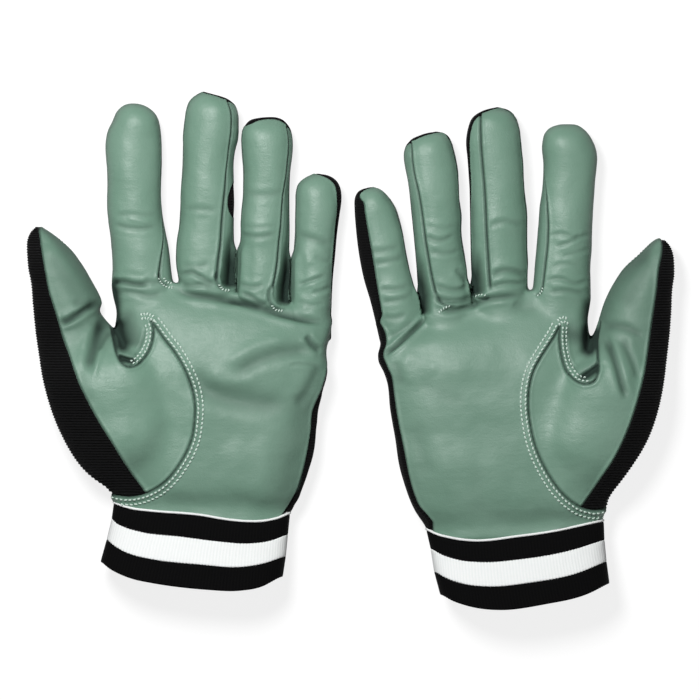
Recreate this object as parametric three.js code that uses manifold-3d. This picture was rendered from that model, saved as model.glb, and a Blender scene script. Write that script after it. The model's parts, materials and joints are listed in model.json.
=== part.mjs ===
// A pair of sports and duty gloves, lying side by side with the palms up and the fingers away from the hem.
// Each glove is a hollow shell of sewn panels: a soft leather palm, fingers and thumb, strips of the same leather
// between the fingers, a ribbed knit back, a thin piping at the wrist and a striped elastic cuff.
// Millimetres, +X to the right, +Y towards the fingertips, +Z up from the surface that the gloves lie on.
import * as THREE from "three";
import { mergeVertices } from "three/addons/utils/BufferGeometryUtils.js";
import Module from "manifold-3d";

const wasm = await Module();
wasm.setup();

// Driving dimensions, in millimetres.
const gloveLength = 240; // from the hem to the tip of the middle finger
const palmWidth = 104.6; // across the palm below the fingers
const leatherThickness = 1.4;
const cuffThickness = 1.8;
const facingThickness = 0.9;
const facingDepth = 11; // how far the facing reaches into the hand
const seamGap = 0.3;
const restSink = 0.5; // how much of the round back is pressed flat by the surface that the gloves lie on
const fingerHeight = 20; // of an index, middle or ring finger, from the back to the front
const littleFingerHeight = 18.5;
const fingerRootHeight = 17; // at the webs between the fingers
const knuckleHeight = 24;
const palmHeight = 28;
const heelHeight = 27;
const wristHeight = 23;
const thumbHeight = 24;
const thumbEndHeight = 19;
const thenarHeight = 34;
const hemHeight = 35;
const sideSeamHeight = 11; // of the seam between leather and knit at the sides of the hand
const pipingWidth = 1.4;
const pipingStand = 0.5; // how far the piping stands out of the leather
const threadThickness = 0.8;
const threadSetback = 1.2; // from the thumb's seam to its first row of thread
const threadRowSpacing = 2.2;

// Points are given where they lie in the picture of the pair. These are the numbers of its pixels in a glove's
// length and in a palm's width, which scale the points to real sizes.
const gloveLengthPixelCount = 500;
const palmWidthPixelCount = 218;
const pictureCentrePixels = [349.1, 349.86];

// How finely round shapes are faceted.
const fingerSides = 12;
const palmSides = 20;
const wristSides = 18;
const threadSides = 4;
const threadSteps = 24;
const flatnessShare = 0.03; // facets within this share of the leather's thickness of one plane are joined

const acrossScale = palmWidth / palmWidthPixelCount;
const alongScale = gloveLength / gloveLengthPixelCount;
const up = new THREE.Vector3(0, 0, 1);
const overrun = palmWidth; // how far a cutter reaches past what it cuts

const leather = { color: 0x7d9f8c, roughness: 0.5, metalness: 0 };
const knit = { color: 0x141414, roughness: 0.9, metalness: 0 };
const white = { color: 0xeef4f2, roughness: 0.75, metalness: 0 };
const thread = { color: 0xc9dccf, roughness: 0.7, metalness: 0 };

// Both gloves, from the picture. A section is [thumb end x, y, little finger end x, y, height]; the ends are where the
// outline of the section meets the picture's silhouette. A finger is its root, its tip, three widths from the root to
// the tip, the place of its fold and how far its seams are rolled towards the palm on the little finger's side. A row
// of the cuff ends with its sag, which is how far its front hangs below its ends.
const gloves = {
  left: {
    palm: [
      [114, 500, 290, 512.5, wristHeight],
      [107, 484, 301.5, 490, heelHeight],
      [104, 460, 310, 458, palmHeight],
      [104, 425, 317, 430, palmHeight],
      [108, 390, 323, 390, palmHeight],
      [112, 350, 326.5, 362, palmHeight],
      [113, 318, 329, 338, knuckleHeight],
      [112.5, 290, 330, 328, knuckleHeight],
      [114, 266.5, 329, 321, fingerRootHeight],
    ],
    thumb: [
      [120, 497, 168, 470, wristHeight],
      [88, 474, 180, 432, thenarHeight],
      [61, 432, 184, 388, thenarHeight],
      [47.5, 395, 160, 352, thenarHeight],
      [38.5, 352, 119, 333.5, thumbHeight],
      [34, 322, 100, 313, thumbHeight],
      [32, 300, 98.5, 298, thumbHeight],
      [30.5, 278, 89.5, 280, thumbHeight],
      [28.5, 255, 76, 259, thumbEndHeight],
    ],
    thumbTip: [39.5, 226],
    thumbFold: [[120, 326.5], [5, 355]],
    thumbSideGap: [[0, 494], [0, 200], [107, 200], [107, 300]],
    fingers: {
      index: { root: [142, 285], tip: [132.5, 104], widths: [57.5, 54, 55], fold: 276, roll: 8, height: fingerHeight },
      middle: { root: [205, 284], tip: [209.5, 92], widths: [54, 53, 53.5], fold: 276, roll: 36, height: fingerHeight },
      ring: { root: [261, 292], tip: [266.5, 117], widths: [51, 46.5, 51], fold: 285, roll: 34, height: fingerHeight },
      little: { root: [310.5, 315], tip: [319.5, 174], widths: [40.5, 42, 43.5], fold: 303, roll: 24, height: littleFingerHeight },
    },
    thumbSeam: [
      [147, 316], [156, 328], [175, 352], [189, 378], [195, 401], [195, 422], [189, 448], [172, 474],
      [150, 491], [130, 496.5], [100, 493],
    ],
    webSeam: [[147, 316], [151, 333], [147, 349], [138, 361], [127, 364], [119.5, 349], [112, 329], [109, 312]],
    knitSeam: [
      [38.6, 225], [39, 236], [44, 262], [51, 298], [60, 330], [71, 355], [85, 394], [105, 430], [128, 468],
      [144, 489], [153, 501],
    ],
    wristSag: 9.5,
    cuff: [
      [113.5, 504.6, 289.5, 517.1, 9.5],
      [111.5, 518, 287, 534, 13.5],
      [107, 538.5, 286, 556, 15.6],
      [101, 561, 283, 576.5, 18.5],
    ],
  },
  right: {
    palm: [
      [604, 519, 427, 527, wristHeight],
      [609, 500, 411, 504, heelHeight],
      [611, 475, 402, 470, palmHeight],
      [610, 440, 394.5, 438, palmHeight],
      [605, 405, 389.5, 400, palmHeight],
      [598, 370, 386, 374, palmHeight],
      [592, 338, 379, 352, knuckleHeight],
      [588, 310, 379.5, 344, knuckleHeight],
      [588, 276, 383, 328, fingerRootHeight],
    ],
    thumb: [
      [598, 512, 552, 486, wristHeight],
      [624, 477, 536, 444, thenarHeight],
      [648, 438, 538, 402, thenarHeight],
      [660, 400, 556, 366, thenarHeight],
      [667, 356, 590, 342, thumbHeight],
      [670.5, 326, 600, 321, thumbHeight],
      [671.5, 304, 606.5, 302, thumbHeight],
      [672.5, 282, 617, 281, thumbHeight],
      [672.5, 262, 631, 259, thumbEndHeight],
    ],
    thumbTip: [659.5, 238],
    thumbFold: [[588, 337], [695, 356.5]],
    thumbSideGap: [[700, 509], [700, 200], [600, 200], [600, 310]],
    fingers: {
      index: { root: [561, 296], tip: [567.5, 125], widths: [56.5, 52.5, 53], fold: 287, roll: 34, height: fingerHeight },
      middle: { root: [499.5, 294], tip: [496, 107], widths: [55, 55, 54], fold: 285, roll: 46, height: fingerHeight },
      ring: { root: [443.5, 304], tip: [430.5, 131], widths: [49.5, 49, 50], fold: 291, roll: 38, height: fingerHeight },
      little: { root: [398, 328], tip: [374, 187], widths: [42, 45, 41], fold: 311, roll: 36, height: littleFingerHeight },
    },
    thumbSeam: [
      [562.5, 318], [555, 335], [540, 358], [529.5, 385], [528, 406], [533, 436], [542, 463], [556, 487],
      [572, 502], [592, 511.5], [620, 509],
    ],
    webSeam: [[562.5, 318], [563, 340], [569, 361], [580, 378], [592, 377], [595, 360], [596, 339], [599, 322]],
    knitSeam: [
      [660.6, 237], [660.5, 248], [656.5, 285], [651, 322], [645, 360], [634, 402], [619, 443], [600, 475],
      [584, 500], [575, 513],
    ],
    wristSag: 9.5,
    cuff: [
      [604, 523.6, 427.5, 531.6, 9.5],
      [603.5, 540, 431.5, 549.5, 14.5],
      [606, 560.5, 434, 571, 16.6],
      [609, 581.5, 440, 594, 18.5],
    ],
  },
};

// How square a cross-section is: 2 is an ellipse, and more is flatter at the front and sides.
const fingerSquareness = 2.4;
const palmSquareness = 2.8;
const thumbSquareness = 2.3;
const cuffSquareness = 2.7;
const tipSquareness = 2.5;

// Where the seams run round a finger, in degrees from its little finger side towards the palm, before its roll.
const frontSeamAngle = 10;
const thumbSideSeamAngle = 165;
const stripAngle = 50; // the strip between two fingers covers this much of a finger's side

// Shares of a finger's length where its stations stand, from the root inside the palm, and where its widths hold.
const fingerStationShares = [0, 0.45];
const fingerWidthShares = [0, 0.45, 0.85];
const rootStart = { share: -0.16, shrink: 0.8 }; // a root's end inside the palm, which is slimmer than the finger
const tipAngles = [0, 36, 66];
const cuffHeightShares = [0, 0.35, 0.68, 1]; // how far each row of the cuff has opened from the wrist to the hem

function inPlan([x, y]) {
  return new THREE.Vector3(
    (x - pictureCentrePixels[0]) * acrossScale,
    (pictureCentrePixels[1] - y) * alongScale,
    0,
  );
}

// A geometry as a solid that can be cut and joined.
function toSolid(geometry) {
  const bare = new THREE.BufferGeometry().setAttribute("position", geometry.getAttribute("position"));
  bare.setIndex(geometry.index);
  const merged = mergeVertices(bare, seamGap / 1000);
  const triVerts = new Uint32Array(merged.index.array);
  const mesh = new wasm.Mesh({ numProp: 3, vertProperties: merged.attributes.position.array, triVerts });
  const solid = new wasm.Manifold(mesh);
  if (solid.volume() > 0) return solid;
  for (let i = 0; i < triVerts.length; i += 3) triVerts.subarray(i, i + 3).reverse();
  return new wasm.Manifold(new wasm.Mesh({ numProp: 3, vertProperties: mesh.vertProperties, triVerts }));
}

function toGeometry(solid) {
  const mesh = solid.getMesh();
  const geometry = new THREE.BufferGeometry();
  geometry.setAttribute("position", new THREE.BufferAttribute(mesh.vertProperties, 3));
  geometry.setIndex(new THREE.BufferAttribute(mesh.triVerts, 1));
  geometry.computeVertexNormals();
  return geometry;
}

function union(solids) {
  return solids.reduce((all, one) => all.add(one));
}

// The largest of the bodies that a cut leaves, without the crumbs beside it.
function mainBody(solid) {
  return solid.decompose().sort((a, b) => b.volume() - a.volume())[0];
}

// A solid through rings of points, each ring in the same order, closed by a flat fan or a pole at both ends.
function loft(rings, pole) {
  const sides = rings[0].length;
  const points = rings.flat();
  const middleOf = (ring) => ring.reduce((sum, p) => sum.add(p), new THREE.Vector3()).divideScalar(ring.length);
  points.push(middleOf(rings[0]), pole ?? middleOf(rings.at(-1)));
  const index = [];
  for (let r = 0; r + 1 < rings.length; r++) {
    const axis = middleOf(rings[r]).add(middleOf(rings[r + 1])).divideScalar(2);
    const fromAxis = (p, q) => points[p].clone().lerp(points[q], 0.5).distanceTo(axis);
    for (let i = 0; i < sides; i++) {
      const [a, b] = [r * sides + i, r * sides + ((i + 1) % sides)];
      const [c, d] = [b + sides, a + sides];
      // The outer of the two diagonals keeps the surface smooth.
      if (fromAxis(a, c) > fromAxis(b, d)) index.push(a, b, c, a, c, d);
      else index.push(a, b, d, b, c, d);
    }
  }
  const last = (rings.length - 1) * sides;
  for (let i = 0; i < sides; i++) {
    index.push(i, points.length - 2, (i + 1) % sides);
    index.push(last + i, last + ((i + 1) % sides), points.length - 1);
  }
  return toSolid(new THREE.BufferGeometry().setFromPoints(points).setIndex(index));
}

// One ring round a section. slant moves its front towards the hem, as a cut tube's end does.
function ringOf({ centre, across, halfWidth, halfHeight, middleHeight, slant = 0 }, squareness, sides, inset = 0) {
  const towardsHem = new THREE.Vector3().crossVectors(across, up);
  if (towardsHem.y > 0) towardsHem.negate();
  return Array.from({ length: sides }, (_, i) => {
    const angle = (i / sides) * Math.PI * 2;
    const [c, s] = [Math.cos(angle), Math.sin(angle)];
    const side = Math.sign(c) * Math.abs(c) ** (2 / squareness);
    const rise = Math.sign(s) * Math.abs(s) ** (2 / squareness);
    return centre
      .clone()
      .addScaledVector(across, side * (halfWidth - inset))
      .addScaledVector(up, middleHeight + rise * (halfHeight - inset))
      .addScaledVector(towardsHem, rise * slant);
  });
}

function sectionOf([x1, y1, x2, y2, height], slant = 0) {
  const [thumbEnd, littleEnd] = [inPlan([x1, y1]), inPlan([x2, y2])];
  return {
    centre: thumbEnd.clone().add(littleEnd).divideScalar(2),
    across: littleEnd.clone().sub(thumbEnd).normalize(),
    halfWidth: thumbEnd.distanceTo(littleEnd) / 2,
    halfHeight: height / 2,
    middleHeight: height / 2 - restSink,
    slant,
  };
}

function between(values, shares, share) {
  const next = Math.max(1, shares.findIndex((s) => s >= share));
  const i = shares.at(-1) <= share ? shares.length - 1 : next;
  const t = THREE.MathUtils.clamp((share - shares[i - 1]) / (shares[i] - shares[i - 1]), 0, 1);
  return THREE.MathUtils.lerp(values[i - 1], values[i], t);
}

// Where a finger lies: its root, its direction, its length and the fold at its base.
function fingerFrame({ root, tip, widths, fold, height }) {
  const [rootPoint, tipPoint] = [inPlan(root), inPlan(tip)];
  const along = tipPoint.clone().sub(rootPoint).normalize();
  const across = new THREE.Vector3(along.y, -along.x, 0);
  const length = rootPoint.distanceTo(tipPoint);
  const halfWidths = widths.map((w) => (w / 2) * acrossScale);
  const foldPoint = inPlan([0, fold]);
  const foldShare = (foldPoint.y - rootPoint.y) / along.y / length;
  return { root: rootPoint, along, across, length, halfWidths, foldShare, halfHeight: height / 2 };
}

function fingerTube(frame, littleSide, inset) {
  const { root, along, length, halfWidths, halfHeight } = frame;
  const across = frame.across.clone().multiplyScalar(littleSide);
  const end = length - inset;
  const capLength = halfWidths[2];
  const capStart = length - capLength;
  const middleHeight = halfHeight - restSink;
  const section = (distance, shrink) => ({
    centre: root.clone().addScaledVector(along, distance),
    across,
    halfWidth: (between(halfWidths, fingerWidthShares, distance / length) - inset) * shrink,
    halfHeight: (halfHeight - inset) * shrink,
    middleHeight,
  });
  const stations = [section(rootStart.share * length, rootStart.shrink)];
  for (const share of fingerStationShares) stations.push(section(share * length, 1));
  for (const degrees of tipAngles) {
    const angle = THREE.MathUtils.degToRad(degrees);
    const shrink = Math.cos(angle) ** (2 / tipSquareness);
    stations.push(section(capStart + (end - capStart) * Math.sin(angle) ** (2 / tipSquareness), shrink));
  }
  const pole = root.clone().addScaledVector(along, end).addScaledVector(up, middleHeight);
  return loft(stations.map((s) => ringOf(s, fingerSquareness, fingerSides)), pole);
}

function thumbTube(glove, inset) {
  const sections = glove.thumb.map((row) => sectionOf(row));
  sections[0].halfWidth *= rootStart.shrink;
  sections[0].halfHeight *= rootStart.shrink;
  const last = sections.at(-1);
  const tip = inPlan(glove.thumbTip);
  const reach = tip.clone().sub(last.centre);
  const rings = sections.map((s) => ringOf(s, thumbSquareness, fingerSides, inset));
  for (const degrees of tipAngles.slice(1)) {
    const angle = THREE.MathUtils.degToRad(degrees);
    const shrink = Math.cos(angle) ** (2 / tipSquareness);
    const centre = last.centre.clone().addScaledVector(reach, Math.sin(angle) ** (2 / tipSquareness));
    centre.addScaledVector(reach.clone().normalize(), -inset);
    const halfWidth = (last.halfWidth - inset) * shrink;
    const halfHeight = (last.halfHeight - inset) * shrink;
    rings.push(ringOf({ ...last, centre, halfWidth, halfHeight }, thumbSquareness, fingerSides));
  }
  const pole = tip.addScaledVector(reach.normalize(), -inset).addScaledVector(up, last.middleHeight);
  return loft(rings, pole);
}

function palmTube(glove, inset) {
  const sections = glove.palm.map((row) => sectionOf(row));
  sections[0].slant = glove.wristSag * alongScale;
  if (inset) {
    const open = { ...sections[0] };
    open.centre = open.centre.clone().add(new THREE.Vector3(0, -overrun, 0));
    sections.unshift(open);
    const top = sections.at(-1);
    top.centre = top.centre.clone().add(new THREE.Vector3(0, -inset, 0));
  }
  return loft(sections.map((s) => ringOf(s, palmSquareness, palmSides, inset)));
}

// A straight-sided cutter that stands on an outline in plan.
function prism(outline, bottom, top) {
  const shape = new THREE.Shape(outline.map((p) => new THREE.Vector2(p.x, p.y)));
  const geometry = new THREE.ExtrudeGeometry(shape, { depth: top - bottom, bevelEnabled: false });
  return toSolid(geometry.translate(0, 0, bottom));
}

// A line in plan moved sideways, to its left where the distance is positive.
function beside(line, distance) {
  return line.map((p, i) => {
    const ahead = line[Math.min(i + 1, line.length - 1)].clone().sub(line[Math.max(i - 1, 0)]).normalize();
    return p.clone().add(new THREE.Vector3(-ahead.y, ahead.x, 0).multiplyScalar(distance));
  });
}

// A thin upright wall along a line in plan, which cuts one panel from the next.
function kerf(line, bottom = -overrun) {
  return prism([...beside(line, seamGap / 2), ...beside(line, -seamGap / 2).reverse()], bottom, overrun);
}

// A wedge along a finger, from one seam's angle to the next, drawn in by half a seam gap at both faces.
function wedge(frame, littleSide, fromAngle, toAngle) {
  const { root, along, length, halfWidths, halfHeight } = frame;
  const middleHeight = halfHeight - restSink;
  const across = frame.across.clone().multiplyScalar(littleSide);
  const steps = 4;
  const half = THREE.MathUtils.degToRad((toAngle - fromAngle) / 2);
  const middle = THREE.MathUtils.degToRad((toAngle + fromAngle) / 2);
  const shift = seamGap / 2 / Math.sin(half);
  const reach = 2;
  const apex = [Math.cos(middle) * shift, Math.sin(middle) * shift];
  const section = [apex];
  for (let i = 0; i <= steps; i++) {
    const angle = middle - half + (i / steps) * 2 * half;
    section.push([
      apex[0] + Math.cos(angle) * halfWidths[0] * reach,
      apex[1] + Math.sin(angle) * halfHeight * reach,
    ]);
  }
  const ringAt = (distance) =>
    section.map(([side, rise]) =>
      root.clone().addScaledVector(along, distance).addScaledVector(across, side).addScaledVector(up, middleHeight + rise),
    );
  return loft([ringAt(-length), ringAt(2 * length)]);
}

const pair = new THREE.Group();

function add(name, solid, look) {
  const body = mainBody(solid).simplify(flatnessShare * leatherThickness);
  const mesh = new THREE.Mesh(toGeometry(body), new THREE.MeshStandardMaterial(look));
  mesh.name = name;
  pair.add(mesh);
}

// The four fingers: leather front, knit back, and a leather strip on each side that faces another finger.
function addFingers(side, glove, shell, littleSide) {
  const order = Object.keys(glove.fingers);
  const cells = [];
  for (const name of order) {
    const finger = glove.fingers[name];
    const frame = fingerFrame(finger);
    const fold = frame.foldShare * frame.length;
    const corner = (distance, handed) => {
      const halfWidth = between(frame.halfWidths, fingerWidthShares, distance / frame.length);
      const offset = handed * (halfWidth + 2 * seamGap);
      return frame.root.clone().addScaledVector(frame.along, distance).addScaledVector(frame.across, offset);
    };
    const cell = (start) => {
      const stations = [start, ...[1, 2].map((i) => fingerWidthShares[i] * frame.length), 2 * frame.length];
      const sides = [...stations.map((d) => corner(d, -1)), ...stations.reverse().map((d) => corner(d, 1))];
      return prism(sides, -overrun, overrun);
    };
    cells.push(cell(fold - seamGap / 2));
    const stall = shell.intersect(cell(fold + seamGap / 2));
    const front = frontSeamAngle + finger.roll;
    const thumbSide = thumbSideSeamAngle + finger.roll / 2;
    const hasLittleStrip = name !== "little";
    const hasThumbStrip = name !== "index";
    const backStart = hasThumbStrip ? thumbSide + stripAngle : thumbSide;
    const backEnd = 360 + (hasLittleStrip ? front - stripAngle - finger.roll / 3 : front);
    const panel = (label, from, to, look) =>
      add(`${side}_${name}_${label}`, stall.intersect(wedge(frame, littleSide, from, to)), look);
    panel("front_leather", front, thumbSide, leather);
    if (hasLittleStrip) panel("little_side_strip", backEnd - 360, front, leather);
    if (hasThumbStrip) panel("thumb_side_strip", thumbSide, backStart, leather);
    panel("back_knit", backStart, backEnd, knit);
  }
  return cells;
}

// A ring between two others.
function mixRings(a, b, share) {
  const mix = (key) => THREE.MathUtils.lerp(a[key], b[key], share);
  return {
    centre: a.centre.clone().lerp(b.centre, share),
    across: a.across.clone().lerp(b.across, share).normalize(),
    halfWidth: mix("halfWidth"),
    halfHeight: mix("halfHeight"),
    middleHeight: mix("middleHeight"),
    slant: mix("slant"),
  };
}

// A band round the wrist through a row of rings, open at both ends and flat where it lies on the surface.
function band(rings, thickness, inset) {
  const beyond = (ring, next) => mixRings(ring, next, -1 / 2);
  const inner = [beyond(rings[0], rings[1]), ...rings.slice(1, -1), beyond(rings.at(-1), rings.at(-2))];
  const tube = (list, by) => loft(list.map((r) => ringOf(r, cuffSquareness, wristSides, by)));
  return tube(rings, inset).subtract(tube(inner, inset + thickness)).subtract(ground);
}

function addWrist(side, glove) {
  const heightAt = (i) => THREE.MathUtils.lerp(wristHeight, hemHeight, cuffHeightShares[i]);
  const rings = glove.cuff.map((row, i) => sectionOf([...row.slice(0, 4), heightAt(i)], row[4] * alongScale));
  const palmEnd = sectionOf(glove.palm[0], glove.wristSag * alongScale);
  const palmNext = sectionOf(glove.palm[1]);
  ["cuff_upper_black", "cuff_white_stripe", "cuff_lower_black"].forEach((name, i) => {
    const share = seamGap / 2 / rings[i].centre.distanceTo(rings[i + 1].centre);
    const ends = [mixRings(rings[i], rings[i + 1], share), mixRings(rings[i], rings[i + 1], 1 - share)];
    add(`${side}_${name}`, band(ends, cuffThickness, 0), name.includes("white") ? white : knit);
  });

  const gap = palmEnd.centre.distanceTo(rings[0].centre);
  const margin = (1 - pipingWidth / gap) / 2;
  const cord = [mixRings(palmEnd, rings[0], margin), mixRings(palmEnd, rings[0], 1 - margin)];
  add(`${side}_wrist_piping`, band(cord, leatherThickness + pipingStand, -pipingStand), white);

  const inHand = mixRings(palmEnd, palmNext, facingDepth / palmEnd.centre.distanceTo(palmNext.centre));
  const inCuff = mixRings(rings[0], rings[1], 1 / 2);
  const facingInset = Math.max(cuffThickness, leatherThickness) + restSink + seamGap;
  add(`${side}_wrist_facing`, band([inHand, palmEnd, rings[0], inCuff], facingThickness, facingInset), knit);
}

// A thread that lies on the leather along a line in plan.
function layThread(line, surface) {
  const caster = new THREE.Raycaster();
  const lift = threadThickness / 2 + seamGap;
  const path = new THREE.CatmullRomCurve3(line).getSpacedPoints(threadSteps).map((p) => {
    caster.set(new THREE.Vector3(p.x, p.y, overrun), up.clone().negate());
    return caster.intersectObject(surface)[0].point.addScaledVector(up, lift);
  });
  const rings = path.map((p, i) => {
    const ahead = path[Math.min(i + 1, threadSteps)].clone().sub(path[Math.max(i - 1, 0)]).normalize();
    const across = new THREE.Vector3().crossVectors(ahead, up).normalize();
    const rise = new THREE.Vector3().crossVectors(across, ahead);
    return Array.from({ length: threadSides }, (_, k) => {
      const angle = (k / threadSides) * Math.PI * 2;
      return p
        .clone()
        .addScaledVector(across, (Math.cos(angle) * threadThickness) / 2)
        .addScaledVector(rise, (Math.sin(angle) * threadThickness) / 2);
    });
  });
  return loft(rings);
}

// The hand itself: palm and back, the thumb's inset with its knit side, and the thumb beyond its fold.
function addHand(side, glove, hand) {
  const [seam, web, knitLine, fold] = [glove.thumbSeam, glove.webSeam, glove.knitSeam, glove.thumbFold].map((line) =>
    line.map(inPlan),
  );
  const sideGap = glove.thumbSideGap.map(inPlan);
  const level = sideSeamHeight;
  const edge = [...web.slice(1).reverse(), ...seam];
  const thumbPlan = prism([...edge, ...sideGap], -overrun, overrun);
  const thumbEdge = union([kerf(web), kerf(seam)]);
  const palmSide = hand.subtract(thumbPlan).subtract(thumbEdge);
  const frontHalf = prism(farCorners, level + seamGap / 2, overrun);
  const backHalf = prism(farCorners, -overrun, level - seamGap / 2);
  add(`${side}_palm_leather`, palmSide.intersect(frontHalf), leather);
  add(`${side}_back_knit`, palmSide.intersect(backHalf), knit);

  // The knit line runs from the thumb's tip to the wrist; leather lies on its palm side, above the side seam.
  const towardsPalm = side === "left" ? 1 : -1;
  const palmWards = new THREE.Vector3(towardsPalm * palmWidth, 0, 0);
  const beyondTip = new THREE.Vector3(0, palmWidth, 0);
  const knitEdge = [knitLine[0].clone().add(beyondTip), ...knitLine];
  const leatherPlan = [...knitEdge, knitLine.at(-1).clone().add(palmWards), knitEdge[0].clone().add(palmWards)];
  const seamWall = kerf(knitEdge, level);
  const leatherCell = (bottom) => prism(leatherPlan, bottom, overrun);
  const thumb = hand.intersect(thumbPlan).subtract(thumbEdge);
  const front = thumb.intersect(leatherCell(level + seamGap / 2)).subtract(seamWall);
  const back = thumb.subtract(leatherCell(level - seamGap / 2)).subtract(seamWall);

  const foldPlan = [fold[0], fold[1], fold[1].clone().add(beyondTip), fold[0].clone().add(beyondTip)];
  const beyondFold = prism(foldPlan, -overrun, overrun);
  const foldWall = kerf(fold);
  add(`${side}_thumb_base_leather`, front.subtract(beyondFold).subtract(foldWall), leather);
  add(`${side}_thumb_side_knit`, back.subtract(beyondFold).subtract(foldWall), knit);
  add(`${side}_thumb_front_leather`, front.intersect(beyondFold).subtract(foldWall), leather);
  add(`${side}_thumb_back_knit`, back.intersect(beyondFold).subtract(foldWall), knit);

  // Two rows of thread on the palm beside the thumb's seam.
  const surface = new THREE.Mesh(toGeometry(hand), new THREE.MeshBasicMaterial());
  const outwards = side === "left" ? 1 : -1;
  ["inner", "outer"].forEach((row, i) => {
    const distance = outwards * (threadSetback + i * threadRowSpacing);
    const line = beside(seam, distance).slice(1, -1);
    add(`${side}_thumb_thread_${row}`, layThread(line, surface), thread);
  });
}

const farCorners = [[-1, -1], [1, -1], [1, 1], [-1, 1]].map(([x, y]) =>
  new THREE.Vector3(x, y, 0).multiplyScalar(2 * gloveLength),
);
const ground = prism(farCorners, -overrun, 0);

function build(side) {
  const glove = gloves[side];
  const littleSide = side === "left" ? 1 : -1;
  const frames = Object.values(glove.fingers).map(fingerFrame);
  const tubes = (inset) =>
    union([palmTube(glove, inset), thumbTube(glove, inset), ...frames.map((f) => fingerTube(f, littleSide, inset))]);
  const shell = tubes(0).subtract(tubes(leatherThickness)).subtract(ground);
  const fingerCells = addFingers(side, glove, shell, littleSide);
  addHand(side, glove, shell.subtract(union(fingerCells)));
  addWrist(side, glove);
}

build("left");
build("right");

export default pair;
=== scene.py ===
# A pair of sports and duty gloves, laid side by side on a pale surface with the palms up.
# Each is sewn from soft sage leather and black ribbed knit, and ends in a striped elastic cuff.
# Shapes are worked out in millimetres and turned into metres where each mesh is made.
import json

import bpy
import numpy as np
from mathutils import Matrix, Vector
from mathutils.bvhtree import BVHTree


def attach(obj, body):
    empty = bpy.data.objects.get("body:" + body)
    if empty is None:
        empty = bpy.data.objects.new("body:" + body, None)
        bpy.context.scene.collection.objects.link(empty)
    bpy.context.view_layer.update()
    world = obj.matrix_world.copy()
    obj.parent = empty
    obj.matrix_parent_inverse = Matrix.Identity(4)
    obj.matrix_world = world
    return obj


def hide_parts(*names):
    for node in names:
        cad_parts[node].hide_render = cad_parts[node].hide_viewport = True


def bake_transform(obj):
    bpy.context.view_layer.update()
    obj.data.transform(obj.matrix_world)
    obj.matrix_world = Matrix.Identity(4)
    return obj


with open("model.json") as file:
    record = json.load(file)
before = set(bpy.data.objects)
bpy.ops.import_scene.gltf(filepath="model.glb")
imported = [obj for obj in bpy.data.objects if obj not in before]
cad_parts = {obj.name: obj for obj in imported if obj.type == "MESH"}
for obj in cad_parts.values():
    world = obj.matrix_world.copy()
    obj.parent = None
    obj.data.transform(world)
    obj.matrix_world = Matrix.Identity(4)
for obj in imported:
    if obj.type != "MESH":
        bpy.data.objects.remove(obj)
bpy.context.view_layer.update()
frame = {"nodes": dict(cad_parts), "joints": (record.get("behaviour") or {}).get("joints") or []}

# The pattern. Both gloves are drafted flat, and every drafted line below is in the pixels of the picture of
# the pair. Two sizes of a size L glove turn the draft into millimetres on the table.
glove_length, palm_width = 240, 104.6
drafted_glove_length, drafted_palm_width = 500, 218
drafted_middle = (349.1, 349.86)


def lay(points):
    """Drafted points as millimetres on the table."""
    scale = palm_width / drafted_palm_width, -glove_length / drafted_glove_length
    return (np.asarray(points, float)[..., :2] - drafted_middle) * scale


# The shape of the hand inside. The gloves lie as round as if a hand filled them, so each starts as one round
# form: four fingers, a thumb and a palm, drafted as outlines or as rows across, with a height for each row.
finger_names = ("index", "middle", "ring", "little")
finger_squareness, palm_squareness, thumb_squareness = 2.15, 2.8, 2.1
thumb_lean = 0.3
finger_height = {"index": 20, "middle": 20, "ring": 20, "little": 18.5}
tip_rounding = 11
# Rows across a finger are this far apart. Over its tip there are so many, from so many roundings before it.
row_spacing, tip_rows, tip_rows_reach, tip_gap = 1.5, 16, 1.4, 0.02
# Everything sinks this much below the table, where it is cut flat, so that the gloves lie on flat backs. The
# middle of a row across the palm or thumb is at least this high.
rest_sink = 0.5
lowest_middle = 9
form_voxel = 0.7
# A smoothing step that keeps the size goes in by the first share and out again by the second.
step_in, step_out, plain_step = 0.6, -0.62, 0.5
sized_steps, plain_steps = 14, 5
row_steps = 8

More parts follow.
